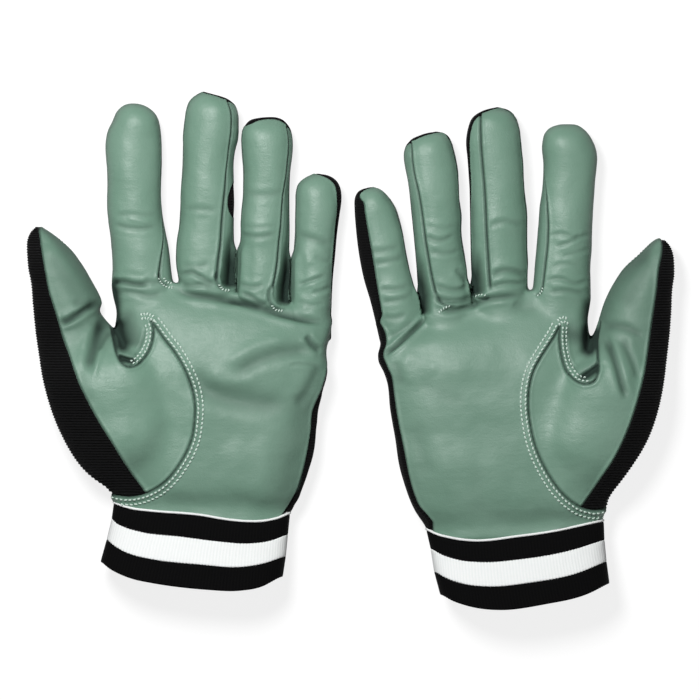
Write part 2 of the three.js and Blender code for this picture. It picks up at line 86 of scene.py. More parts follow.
# Finger outlines run from the thumb side of the root, over the tip, to the other side.
outlines = {
    "left": {
        "index": [(115, 330), (117, 312), (113.5, 295), (112, 284), (112, 270), (110, 240), (108, 220),
                  (107, 200), (106, 160), (105, 142), (107, 131), (112, 121), (117, 111), (123, 106),
                  (132, 104), (143, 106), (151, 110.5), (157, 118), (160, 128), (161.5, 142), (162, 160),
                  (161.5, 200), (163, 215), (166, 235), (169, 255), (171, 270), (173, 284), (174, 330)],
        "middle": [(180, 330), (179, 282), (176.5, 265), (177, 245), (179, 220), (180, 200), (182, 160),
                   (184, 120), (186, 108), (190, 100), (196, 95), (203, 92), (212, 94), (220, 96),
                   (228, 99), (234, 104), (237.5, 112), (238.3, 125), (237.6, 140), (235, 150),
                   (233.5, 160), (233.5, 180), (234.3, 205), (233.5, 220), (233.6, 240), (234.3, 258),
                   (234, 275), (233, 290), (231, 330)],
        "ring": [(238, 330), (238.3, 285), (238.6, 262), (239, 250), (240.3, 235), (241.5, 215), (243, 190),
                 (242.6, 165), (241.3, 150), (241.2, 138), (244, 127), (250, 120), (258, 118), (268, 117),
                 (276, 117.5), (283, 120), (289, 127), (292.5, 142), (292, 155), (290, 170), (289, 190),
                 (289, 210), (289.2, 235), (288.6, 258), (288.2, 275), (287.6, 295), (286, 340)],
        "little": [(292.3, 340), (292.3, 300), (292.6, 280), (293.2, 258), (294.6, 235), (295.2, 205),
                   (296, 190), (299, 183), (305, 178), (313, 174.5), (320, 174), (330, 176), (337, 181),
                   (341, 190), (341.6, 200), (339.6, 215), (337, 235), (335, 258), (332.6, 280), (331, 310),
                   (331, 340)],
    },
    "right": {
        "little": [(425, 350), (421.5, 318), (418, 302), (413.3, 285), (407, 255), (400, 220), (396, 208),
                   (391, 200), (386, 194), (380, 189), (372, 187.5), (364, 188.5), (358, 191.5), (355, 197),
                   (354.5, 210), (355.5, 225), (359, 255), (364, 280), (370, 300), (375, 320), (380, 342),
                   (384, 356)],
        "ring": [(472, 345), (468.6, 290), (467.6, 276), (465.5, 258), (461.5, 230), (462, 215), (460, 200),
                 (457.5, 165), (455, 152), (451.5, 142), (446, 134.5), (436, 132), (427, 133), (418, 136),
                 (411, 139.5), (406, 146.5), (404, 155), (405, 165), (408, 180), (412, 215), (416.5, 262),
                 (419.5, 300), (428, 345)],
        "middle": [(529, 340), (528, 285), (527, 230), (524, 180), (521.5, 140), (519.5, 126), (515, 116),
                   (509, 110.5), (503, 108.5), (497, 107.5), (490, 108.5), (480, 112), (472, 118),
                   (468, 128), (466, 140), (467.5, 160), (470, 200), (470.8, 240), (471.3, 262),
                   (472.8, 288), (478, 340)],
        "index": [(590, 340), (587.5, 320), (590, 300), (590.5, 275), (591, 240), (594, 200), (595.5, 170),
                  (596, 153), (592, 140), (586, 131.5), (578, 126), (567, 125), (557, 125.5), (550, 128),
                  (545, 133), (542, 143), (543, 165), (541.5, 195), (537, 236), (534, 272), (532.5, 288),
                  (534, 340)],
    },
}
# A row across the palm or thumb is its thumb end, its little finger end and its height in millimetres.
palm_rows = {
    "left": [(114, 514, 288, 526, 23), (114, 500, 291, 511, 23), (108, 486, 300, 496, 26),
             (104, 460, 311.5, 461, 28), (104, 425, 317, 425, 28), (106, 408, 318.5, 410, 28),
             (108, 390, 323, 392, 28), (111, 365, 328, 370, 28), (113, 350, 326, 352, 27),
             (115, 335, 329, 337, 25.5), (117, 318, 331.5, 326, 23.5), (116, 292, 331.5, 318, 19),
             (117, 274, 329, 309, 13)],
    "right": [(604, 533, 430, 541, 23), (603, 519, 425.5, 527, 23), (608, 505, 414.5, 510, 26),
              (611, 478, 401.5, 475, 28), (610, 440, 394.8, 437, 28), (605, 405, 389.5, 405, 28),
              (600, 385, 388, 386, 28), (598, 370, 384, 373, 28), (593, 350, 377.5, 359, 26.5),
              (590, 338, 379, 349, 25), (587, 318, 382, 342, 22), (586, 298, 384, 335, 18),
              (586, 278, 386, 324, 13)],
}
thumb_rows = {
    "left": [(120, 497, 168, 470, 20), (88, 474, 180, 432, 33), (61, 432, 184, 388, 34),
             (47.5, 395, 160, 352, 34), (41, 370, 137, 343, 29.5), (38, 351, 119, 334, 25),
             (35.5, 336, 107, 324, 24), (34, 322, 98.5, 313, 24), (32, 300, 99.5, 301, 24),
             (30.5, 278, 89.5, 281, 24), (28.5, 262, 80, 264, 22.5), (27.5, 250, 70, 250, 20),
             (27.5, 240, 59.5, 240, 16.5), (30, 233, 50, 233, 13), (33.5, 228.5, 43, 228.5, 8),
             (37, 226.3, 39.5, 226.3, 3)],
    "right": [(598, 512, 552, 486, 20), (624, 477, 536, 444, 33), (648, 438, 538, 402, 34),
              (660, 400, 556, 366, 34), (665, 375, 578, 350, 30), (667.5, 356, 590, 341, 26),
              (669.5, 340, 596, 332, 24.5), (671, 326, 600, 321, 24), (672, 304, 606.5, 302, 24),
              (673, 282, 617, 281, 24), (673.5, 266, 627, 266, 22.5), (673, 255, 639, 255, 20),
              (671, 248, 646, 248, 17), (668, 243, 652, 242.5, 13), (664, 240, 656, 240, 8),
              (661, 238.8, 658.5, 238.8, 3)],
}


def curve(points, steps=12):
    """A smooth line through the points, which may have more columns than x and y."""
    points = np.asarray(points, float)
    gap = np.linalg.norm(np.diff(points[:, :2], axis=0), axis=1)[:, None]
    slope = np.diff(points, axis=0) / gap
    inner = (slope[:-1] * gap[1:] + slope[1:] * gap[:-1]) / (gap[:-1] + gap[1:])
    slopes = np.vstack([slope[:1], inner, slope[-1:]])
    t = np.linspace(0, 1, steps, endpoint=False)[None, :, None]
    a, b, gap = points[:-1, None], points[1:, None], gap[:, None]
    line = a * (2 * t**3 - 3 * t**2 + 1) + b * (3 * t**2 - 2 * t**3)
    line = line + gap * (slopes[:-1, None] * (t**3 - 2 * t**2 + t) + slopes[1:, None] * (t**3 - t**2))
    return np.vstack([line.reshape(-1, points.shape[1]), points[-1:]])


def ease(value, low, high):
    """0 below low, 1 above high, and smooth between."""
    t = np.clip((value - low) / (high - low), 0, 1)
    return t * t * (3 - 2 * t)


def finger_slices(side, finger):
    """Rows across a finger from root to tip: its ends x1, x2, its y, its height."""
    line = lay(curve(outlines[side][finger]))
    top = line[:, 1].argmax()
    ends = [half[half[:, 1].argsort()] for half in (line[: top + 1], line[top:])]
    tip, root = line[top, 1], max(half[0, 1] for half in ends)
    near_tip = tip - tip_rounding * tip_rows_reach * (1 - np.sin(np.linspace(0, np.pi / 2, tip_rows)))
    y = np.concatenate([np.arange(root, near_tip[0], row_spacing), near_tip])
    y[-1] = tip - tip_gap
    x1, x2 = (np.interp(y, half[:, 1], half[:, 0]) for half in ends)
    roundness = 1 - np.clip((tip - y) / tip_rounding, 0, 1)
    height = finger_height[finger] * (1 - roundness**finger_squareness) ** (1 / finger_squareness)
    return np.column_stack([x1, x2, y, height])


def ring(one_end, other_end, height, middle, squareness, corners=64):
    """Points round a section: across from one end to the other, and up and down by half the height."""
    angle = np.linspace(0, 2 * np.pi, corners, endpoint=False)
    across, rise = (np.sign(w) * np.abs(w) ** (2 / squareness) for w in (np.cos(angle), np.sin(angle)))
    centre, reach = (one_end + other_end) / 2, (one_end - other_end) / 2
    return np.column_stack([centre + across[:, None] * reach, middle + rise * height / 2])


def tube(rings):
    """A closed tube through rings with equally many points."""
    count, corners = len(rings), len(rings[0])
    points = np.vstack([*rings, rings[0].mean(axis=0), rings[-1].mean(axis=0)])
    i = np.arange(corners)
    j = (i + 1) % corners
    walls = [np.column_stack([r * corners + i, r * corners + j, (r + 1) * corners + j, (r + 1) * corners + i])
             for r in range(count - 1)]
    last = (count - 1) * corners
    caps = [np.column_stack([j, i, np.full(corners, count * corners)]),
            np.column_stack([last + i, last + j, np.full(corners, count * corners + 1)])]
    return points, [*np.vstack(walls).tolist(), *np.vstack(caps).tolist()]


def fuse(tubes, voxel):
    """Tubes joined into one skin of small squares."""
    points, faces = [], []
    for tube_points, tube_faces in tubes:
        start = sum(len(p) for p in points)
        points.append(tube_points)
        faces += [[start + corner for corner in face] for face in tube_faces]
    mesh = bpy.data.meshes.new("form")
    mesh.from_pydata(np.vstack(points).tolist(), [], faces)
    shape = bpy.data.objects.new("form", mesh)
    bpy.context.scene.collection.objects.link(shape)
    remesh = shape.modifiers.new("fuse", "REMESH")
    remesh.mode, remesh.voxel_size = "VOXEL", voxel
    skin = shape.evaluated_get(bpy.context.evaluated_depsgraph_get()).to_mesh()
    points = np.empty(len(skin.vertices) * 3)
    skin.vertices.foreach_get("co", points)
    squares = np.empty(len(skin.loops), int)
    skin.loops.foreach_get("vertex_index", squares)
    bpy.data.objects.remove(shape)
    return points.reshape(-1, 3), squares.reshape(-1, 4)


def smooth(points, squares, steps, keep_size=True, amount=1):
    """Evens out a skin by an amount for each point; with keep_size each step in is followed by one out."""
    edges = np.unique(np.sort(squares[:, [0, 1, 1, 2, 2, 3, 3, 0]].reshape(-1, 2), axis=1), axis=0)
    count = np.bincount(edges.ravel(), minlength=len(points))[:, None]
    for share in [step_in, step_out] * steps if keep_size else [plain_step] * steps:
        around = np.column_stack([
            np.bincount(edges[:, 0], points[edges[:, 1], k], len(points))
            + np.bincount(edges[:, 1], points[edges[:, 0], k], len(points)) for k in range(3)])
        points = points + share * amount * (around / count - points)
    return points


# Neighbouring fingers are formed apart, and then pressed against each other along these lines, which lean
# sideways by the slant above the press height.
pressed_gaps = {
    "left": [[(236.5, 240), (236.6, 262), (236.2, 282), (235.6, 302)],
             [(291.1, 248), (290.5, 275), (290, 300), (289.4, 318)]],
    "right": [[(415, 284), (418.5, 300), (422.5, 318)], [(469.5, 274), (470.6, 290), (472, 303)]],
}
press_share, press_reach, press_start = 0.985, 3, 7
press_slant, press_height = 0.3, 9.5


def press_together(side, points):
    """Narrows the gaps between pressed fingers to a dark line."""
    for gap in pressed_gaps[side]:
        line = lay(curve(gap))[::-1]
        low, high = line[0, 1], line[-1, 1]
        y = points[:, 1]
        share = ease(y, low - press_start, low) * (1 - ease(y, high - press_start, high))
        middle = np.interp(y, line[:, 1], line[:, 0]) + press_slant * (points[:, 2] - press_height)
        away = points[:, 0] - middle
        points[:, 0] -= away * press_share * share * np.exp(-((away / press_reach) ** 4))
    return points


# The thumb's leather is let into the palm along the thumb seam, and the web seam turns back at its point.
thumb_seams = {
    "left": [(152, 322), (157.5, 329), (164, 338), (175, 352), (183, 365), (189.5, 379), (194, 393),
             (195.8, 407), (195, 422), (193, 436), (188, 450), (180, 464), (171, 476), (160, 486),
             (148, 492.5), (130, 496.5), (112, 494), (98, 489)],
    "right": [(559.5, 326), (555, 334.5), (547, 347), (540, 358), (533, 371), (529, 386), (527.8, 402),
              (530, 425), (534, 443), (541, 461), (548, 474), (556, 486), (566, 497), (580, 506.5),
              (594, 510), (612, 506)],
}
web_seams = {
    "left": [(152, 322), (154, 328), (154, 336), (151.5, 347), (146, 357), (139, 364.5), (131, 367),
             (124, 364), (119, 356), (115, 342), (112, 329), (109, 312)],
    "right": [(559.5, 326), (559, 340), (561, 356), (566, 371), (574, 380.5), (584, 384), (592, 382),
              (597, 373), (597, 356), (596, 339), (599, 322)],
}
# Round the outside of the thumb its outline is closed by these points, well clear of the glove.
thumb_sides = {"left": [(98, 489), (-60, 480), (-60, 180), (98, 180), (109, 312)],
               "right": [(612, 506), (760, 500), (760, 180), (606, 180), (599, 322)]}
# The thumb swells out of the palm, and the fingers grow out of it, without a ledge: between these rows
# the form is drawn smooth, and so is all that lies within this reach of the thumb's seam line. The smoothing
# starts between the last two heights, so that the back stays as it is.
root_rows = {"left": (352, 300), "right": (358, 306)}
root_share, swell_share, swell_reach, swell_steps = 0.3, 1.75, 7, 100
swell_from, swell_full = 9, 14


def distance_to(points, line):
    """How far each point lies from a line on the table."""
    nearest = np.full(len(points), np.inf)
    for a, b in zip(line[:-1], line[1:]):
        step = b - a
        share = np.clip(((points - a) @ step) / (step @ step), 0, 1)[:, None]
        nearest = np.minimum(nearest, ((points - a - share * step) ** 2).sum(axis=1))
    return np.sqrt(nearest)


def inside(points, outline):
    """Which points lie inside a closed outline on the table."""
    within = np.zeros(len(points), bool)
    for a, b in zip(outline, np.roll(outline, -1, axis=0)):
        if a[1] == b[1]:
            continue
        crossing = (a[1] > points[:, 1]) != (b[1] > points[:, 1])
        within ^= crossing & (points[:, 0] < a[0] + (points[:, 1] - a[1]) / (b[1] - a[1]) * (b[0] - a[0]))
    return within


def soft_roots(side, points):
    """How freely each point of the form is drawn smooth."""
    table = points[:, :2]
    web, seam = lay(web_seams[side]), lay(thumb_seams[side])
    within = inside(table, np.vstack([web[::-1], seam, lay(thumb_sides[side])]))
    near = 1 - ease(distance_to(table, seam), 0, swell_reach)
    low, high = (lay((0, row))[1] for row in root_rows[side])
    at_root = ease(points[:, 1], low - swell_reach, low) * (1 - ease(points[:, 1], high, high + swell_reach))
    below_tip = 1 - ease(points[:, 1], high + swell_reach, high + 2 * swell_reach)
    share = np.maximum(swell_share * np.where(within, 1, near) * below_tip, root_share * at_root)
    return (share * ease(points[:, 2], swell_from, swell_full))[:, None]


def hand_form(side):
    """The bare round form of one glove as points and squares."""
    tubes = []
    for finger in finger_names:
        rows = finger_slices(side, finger)
        middle = finger_height[finger] / 2 - rest_sink
        tubes.append(tube([ring(np.array([x1, y]), np.array([x2, y]), height, middle, finger_squareness)
                           for x1, x2, y, height in rows]))
    for rows, squareness in ((palm_rows[side], palm_squareness), (thumb_rows[side], thumb_squareness)):
        rings = []
        for row in curve(rows, row_steps):
            one_end, other_end, height = lay(row[:2]), lay(row[2:4]), row[4]
            middle = max(height / 2, lowest_middle) - rest_sink
            section = ring(one_end, other_end, height, middle, squareness)
            if squareness == thumb_squareness:
                rise = ((section[:, 2] - middle) / height)[:, None]
                section[:, :2] += thumb_lean * rise * (one_end - other_end) * (1 - 4 * rise**2)
            rings.append(section)
        tubes.append(tube(rings))
    points, squares = fuse(tubes, form_voxel)
    points = smooth(points, squares, sized_steps)
    points = press_together(side, smooth(points, squares, plain_steps, keep_size=False))
    points = smooth(points, squares, swell_steps, False, soft_roots(side, points))
    points[:, 2] = np.maximum(points[:, 2], 0)
    return points, squares


# The seams. The form is marked with its distance to each seam, in millimetres, and cut along these lines, so
# that every panel's edge is smooth. A finger's seams run at angles round it, drafted where they show: a front
# line parts its front from the strip on its little finger side, and past a back line lies knit.
front_lines = {
    "left": {
        "index": [(160, 104), (161.5, 150), (161.3, 200), (162.5, 215), (163.5, 240), (161.5, 258),
                  (159.5, 276)],
        "middle": [(217, 92), (226, 99), (230, 108), (231.5, 130), (229.5, 150), (225.5, 185), (223, 215),
                   (221, 245), (219, 260), (217, 277)],
        "ring": [(281, 116), (286, 124), (289, 140), (287, 165), (285, 185), (283, 205), (281.5, 225),
                 (280, 240), (277, 268), (273, 286)],
    },
    "right": {
        "ring": [(416, 131), (411, 141), (411, 152), (413, 170), (418, 190), (423, 225), (427, 250),
                 (432, 280), (436, 296)],
        "middle": [(487, 106), (481, 114), (480, 122), (480.5, 140), (482, 165), (485, 210), (487, 250),
                   (490, 288)],
        "index": [(541.5, 125), (542.5, 160), (545, 190), (547, 215), (546.5, 240), (544, 268), (541, 292)],
    },
}
back_lines = {
    "left": {
        "middle": [(219, 91), (229, 98), (236, 105), (240, 116), (241, 140), (240, 162), (234.5, 178),
                   (231, 190), (229.3, 200), (229.8, 210), (233, 218), (237, 226), (238, 245), (237, 290)],
        "ring": [(292, 120), (295, 150), (292, 230), (292, 258), (291, 300)],
        "little": [(328, 173), (334, 180), (337.2, 190), (338, 205), (336, 225), (334, 250), (332.4, 270),
                   (331.3, 290), (331, 310)],
    },
    "right": {
        "little": [(370, 186), (366, 189), (363.8, 196), (363.4, 205), (365, 218), (368, 235), (371.5, 255),
                   (375.5, 280), (379.5, 305), (383, 325)],
        "ring": [(403, 140), (402, 180), (409, 230), (412, 268), (415, 300)],
        "middle": [(489, 107), (478, 114.5), (473, 122), (470, 132), (469.3, 160), (470.3, 180), (470.6, 200),
                   (469, 240), (468, 300)],
    },
}
# In degrees, from the little finger side over the palm: the knit's edge where it is hidden, and the two seams
# of the strip on the thumb's side.
hidden_back_angle = -22
thumb_side_front_angle, thumb_side_back_angle = 163, 200
# The knit closes over a fingertip up to the first height above its middle, so it shows from the front where
# that is above 0. At the little finger's side it climbs by the second height.
tip_levels = {"left": {"index": (-3, 0), "middle": (2.6, 3.4), "ring": (4.2, -1.2), "little": (2.6, 3)},
              "right": {"index": (-3, 0), "middle": (2.8, 3.2), "ring": (3.2, 2.6), "little": (1.4, 3.6)}}
# The thumb's knit side meets its leather along this line, from the tip to the wrist.
knit_lines = {
    "left": [(38.6, 224), (39.5, 234), (42, 252), (45, 270), (49.5, 293), (55, 310), (59.5, 325), (64, 340),
             (70, 355), (75, 370), (80.5, 385), (88, 400), (96, 415), (105, 430), (114.5, 445), (123.5, 460),
             (133, 475), (141, 486), (150, 499)],
    "right": [(662, 236), (662.5, 247), (658.5, 270), (656.5, 290), (652, 320), (648.5, 345), (644.5, 370),
              (637, 400), (627, 430), (612.5, 460), (600, 479), (590, 494), (580, 508)],
}
# The line is drawn on beyond the thumb's tip, and closed round the palm, by these lengths.
beyond_tip_length, past_palm_length = 80, 120
# Round the outside of the thumb the leather ends at this height.
side_seam_height = 7.5
# Round the hand the leather ends at this height, and beside the little finger it ends on a drafted line.
hand_side_levels = {"left": [(100, 8), (200, 9), (300, 8), (318, 11)],
                    "right": [(382, 11), (410, 8), (500, 9), (610, 8)]}
hand_side_lines = {
    "left": [(345, 290), (342, 318), (336, 335), (330, 346), (329, 358), (328.5, 370), (324.5, 385),
             (320.5, 396), (317, 410), (315, 430), (311.8, 450), (306.3, 475), (300.2, 493), (292.5, 505),
             (284.5, 514)],
    "right": [(365, 290), (376, 318), (384.8, 336), (384.8, 346), (382, 354), (385.5, 365), (390.5, 376),
              (392.6, 392), (396.8, 420), (403, 450), (409, 480), (413.5, 495), (418.5, 506), (425.5, 514),
              (432, 522)],
}
little_side = {"left": 1, "right": -1}
# The knit's edge changes from the hand's to the finger's over the first stretch before the fold, and from the
# finger's sides to the one over its tip over the second stretch before the tip.
knit_change, tip_change = (-5, -0.2), (8, 3)
# A point belongs to a finger up to this far beside it. Points of no finger count as this far before a fold,
# and where a finger lacks a front seam it counts as this far away.
finger_margin, far_before_fold, no_seam = 4, -50, 99.0
# Angles round a finger need some thickness at its tip, and a line that stays on the finger.
thinnest_half, seam_limit = 0.05, 0.995


def fold_of(side, finger):
    """A joint's place on the table, the way along the finger beyond it, and its height, in millimetres."""
    joint = next(joint for joint in frame["joints"] if joint["name"] == f"{side}_{finger}_fold")
    place, axis = np.array(joint["pos_m"]) * 1000, np.array(joint["axis"])
    return place[:2], np.array([-axis[1], axis[0]]), place[2]


def finger_marks(side, finger, points):
    """For one finger: distance past its fold, to the front seam on both sides, to the knit, and nearness."""
    rows = finger_slices(side, finger)
    y = points[:, 1]
    x1, x2, height = (np.interp(y, rows[:, 2], rows[:, k]) for k in (0, 1, 3))
    centre, reach = (x1 + x2) / 2, (x2 - x1) / 2
    middle = finger_height[finger] / 2 - rest_sink
    half = np.maximum(height / 2, thinnest_half)
    across, rise = points[:, 0] - centre, points[:, 2] - middle
    radius = np.hypot(across, rise)
    angle = np.degrees(np.arctan2(rise / half, across / reach))
    angle = np.where(angle < -90, angle + 360, angle)

    def seam_angle(line):
        drafted = lay(curve(line))
        drafted = drafted[drafted[:, 1].argsort()]
        where = (np.interp(y, drafted[:, 1], drafted[:, 0]) - centre) / reach
        where = np.clip(where, -seam_limit, seam_limit)
        top = (1 - np.abs(where) ** finger_squareness) ** (1 / finger_squareness)
        return np.degrees(np.arctan2(top, where))

    back = back_lines[side].get(finger)
    back_angle = seam_angle(back) if back else np.full(len(y), hidden_back_angle)
    little = np.radians(angle - back_angle) * radius
    thumb = np.radians(thumb_side_back_angle - angle) * radius
    knit = np.minimum(little, thumb)
    tip = rows[-1, 2]
    tip_level, tip_climb = tip_levels[side][finger]
    knit_tip = rise - tip_level - tip_climb * across / reach
    near_tip = ease(y, *(tip - before for before in tip_change))
    knit = knit * (1 - near_tip) + knit_tip * near_tip
    far = np.full(len(y), no_seam)
    front = front_lines[side].get(finger)
    front_little = np.radians(angle - seam_angle(front)) * radius if front else far
    front_thumb = np.radians(thumb_side_front_angle - angle) * radius if finger != "index" else far
    fold_place, along, _ = fold_of(side, finger + "_finger")
    past = (points[:, :2] - fold_place) @ along
    return past, front_little, front_thumb, knit, np.abs(across) - np.abs(reach)


# Each point of the skin has its x, y and z, and then these marks.
marks = ("fold", "front_little", "front_thumb", "knit", "thumb_seam", "thumb_knit", "thumb_fold", "finger",
         "ribs")
column = {name: 3 + i for i, name in enumerate(marks)}
# Over a rounded tip the ribs of the knit keep their distance, as they do along the rest of the finger.
ribbed_tip = 11.5


def rib_places(side, points, number):
    """How far along the glove each point lies, for the ribs of its knit."""
    tips = [lay(outlines[side][finger])[:, 1].max() for finger in finger_names]
    tips.append(lay(thumb_rows[side][-1][:2])[1])
    bend = np.array(tips)[number] - ribbed_tip
    past = np.clip((points[:, 1] - bend) / ribbed_tip, 0, 1)
    return np.where(past > 0, bend + ribbed_tip * np.arcsin(past), points[:, 1])


def mark(side, points):
    """The form's points with a column for each seam's distance."""
    table = points[:, :2]
    drafted_x = table[:, 0] / (palm_width / drafted_palm_width) + drafted_middle[0]
    web, seam = lay(curve(web_seams[side])), lay(curve(thumb_seams[side]))
    outline = np.vstack([web[::-1], seam, lay(thumb_sides[side])])
    in_thumb = inside(table, outline)
    seam_distance = np.minimum(distance_to(table, web), distance_to(table, seam))
    thumb_seam = np.where(in_thumb, -seam_distance, seam_distance)

    line = lay(curve(hand_side_lines[side]))[::-1]
    beside_line = (np.interp(table[:, 1], line[:, 1], line[:, 0]) - table[:, 0]) * little_side[side]
    hand_knit = np.minimum(points[:, 2] - np.interp(drafted_x, *zip(*hand_side_levels[side])), beside_line)
    nearest = np.full(len(points), np.inf)
    chosen = np.zeros((len(points), 4))
    chosen[:, 0] = far_before_fold
    number = np.full(len(points), -1.0)
    for i, finger in enumerate(finger_names):
        past, front_little, front_thumb, knit, outside = finger_marks(side, finger, points)
        mine = (outside < nearest) & (outside < finger_margin) & (thumb_seam > 0)
        nearest = np.where(mine, outside, nearest)
        chosen[mine] = np.column_stack([past, front_little, front_thumb, knit])[mine]
        number[mine] = i
    share = ease(chosen[:, 0], *knit_change)
    knit = hand_knit * (1 - share) + chosen[:, 3] * share

    line = lay(curve(knit_lines[side]))
    beyond_tip = line[0] + np.array([0, beyond_tip_length])
    to_palm = np.array([past_palm_length * little_side[side], 0])
    leather_side = inside(table, np.vstack([beyond_tip, line, line[-1] + to_palm, beyond_tip + to_palm]))
    knit_distance = distance_to(table, np.vstack([beyond_tip, line]))
    thumb_knit = np.where(leather_side, knit_distance, -knit_distance)
    thumb_knit = np.minimum(thumb_knit, points[:, 2] - side_seam_height)
    fold_place, along, _ = fold_of(side, "thumb")
    thumb_fold = (table - fold_place) @ along
    ribs = rib_places(side, points, np.where(in_thumb, len(finger_names), number).astype(int))
    return np.column_stack([points, chosen[:, :3], knit, thumb_seam, thumb_knit, thumb_fold, number, ribs])


def split(skin, faces, share_of):
    """Cuts triangles where share_of(edges) gives a share of an edge. New points get marks in between."""
    ordered = np.sort(faces[:, [0, 1, 1, 2, 2, 0]].reshape(-1, 2), axis=1)
    keys = ordered[:, 0] * len(skin) + ordered[:, 1]
    _, first, inverse = np.unique(keys, return_index=True, return_inverse=True)
    edges = ordered[first]
    share = share_of(edges)
    crossed = ~np.isnan(share)
    new = np.full(len(edges), -1)
    new[crossed] = len(skin) + np.arange(crossed.sum())
    a, b = skin[edges[crossed, 0]], skin[edges[crossed, 1]]
    skin = np.vstack([skin, a + share[crossed, None] * (b - a)])
    middle = new[inverse].reshape(-1, 3)
    cut = middle >= 0
    count = cut.sum(axis=1)
    pieces = [faces[count == 0]]
    for turn in range(3):
        i, j, k = turn, (turn + 1) % 3, (turn + 2) % 3
        one = (count == 1) & cut[:, i]
        f, m = faces[one], middle[one]
        pieces += [np.column_stack([f[:, i], m[:, i], f[:, k]]), np.column_stack([m[:, i], f[:, j], f[:, k]])]
        two = (count == 2) & ~cut[:, k]
        f, m = faces[two], middle[two]
        pieces += [np.column_stack([m[:, i], f[:, j], m[:, j]]), np.column_stack([f[:, i], m[:, i], m[:, j]]),
                   np.column_stack([f[:, i], m[:, j], f[:, k]])]
    f, m = faces[count == 3], middle[count == 3]
    pieces += [np.column_stack([f[:, i], m[:, i], m[:, i - 1]]) for i in range(3)] + [m]
    return skin, np.vstack(pieces)


# A cut moves to a point that it would pass this near, as a share of the triangle's side.
snap = 0.12
# On both sides of each seam the form is cut again at these distances, so that its groove can bend there.
seam_loops = 0, -0.7, 0.7, -1.5, 1.5
on_line, near_line = 1e-6, 1e-3
# A finger's fold is cut only through triangles that lie wholly past this place before it.
before_fold = -20


def cut_along(skin, faces, values, level=0.0, where=None):
    """Cuts triangles along the line where the values reach the level."""
    distance = values(skin) - level
    allowed = np.ones(len(skin), bool) if where is None else where(skin)

    def share_of(edges):
        a, b = distance[edges[:, 0]], distance[edges[:, 1]]
        crossed = (a * b < 0) & allowed[edges].all(axis=1)
        share = np.where(crossed, a / np.where(crossed, a - b, 1), np.nan)
        for end, close in ((0, share < snap), (1, share > 1 - snap)):
            distance[edges[close, end]] = 0
        still = (distance[edges[:, 0]] * distance[edges[:, 1]] < 0) & crossed
        return np.where(still, share, np.nan)

    return split(skin, faces, share_of)


def column_of(name):
    """A function that reads a mark's column."""
    return lambda skin: skin[:, column[name]]


def cut_panels(side):
    """The marked form of one glove, cut along every seam and beside it."""
    points, squares = hand_form(side)
    faces = np.vstack([squares[:, [0, 1, 2]], squares[:, [0, 2, 3]]])
    skin = mark(side, points)

    def on_palm(skin):
        return skin[:, column["thumb_seam"]] >= -on_line

    def on_thumb(skin):
        return skin[:, column["thumb_seam"]] <= on_line

    def on_finger(skin):
        return skin[:, column["fold"]] >= -on_line

    def near_finger(skin):
        return skin[:, column["fold"]] > before_fold

    skin, faces = cut_along(skin, faces, column_of("thumb_seam"))
    skin[np.abs(skin[:, column["thumb_seam"]]) < near_line, column["thumb_seam"]] = 0
    skin, faces = cut_along(skin, faces, column_of("fold"), where=near_finger)
    skin, faces = cut_along(skin, faces, column_of("thumb_fold"), where=on_thumb)
    seams = (("thumb_seam", None), ("knit", on_palm), ("thumb_knit", on_thumb), ("front_little", on_finger),
             ("front_thumb", on_finger))
    for name, where in seams:
        for level in seam_loops:
            if name != "thumb_seam" or level:
                skin, faces = cut_along(skin, faces, column_of(name), level, where)
    return skin, faces


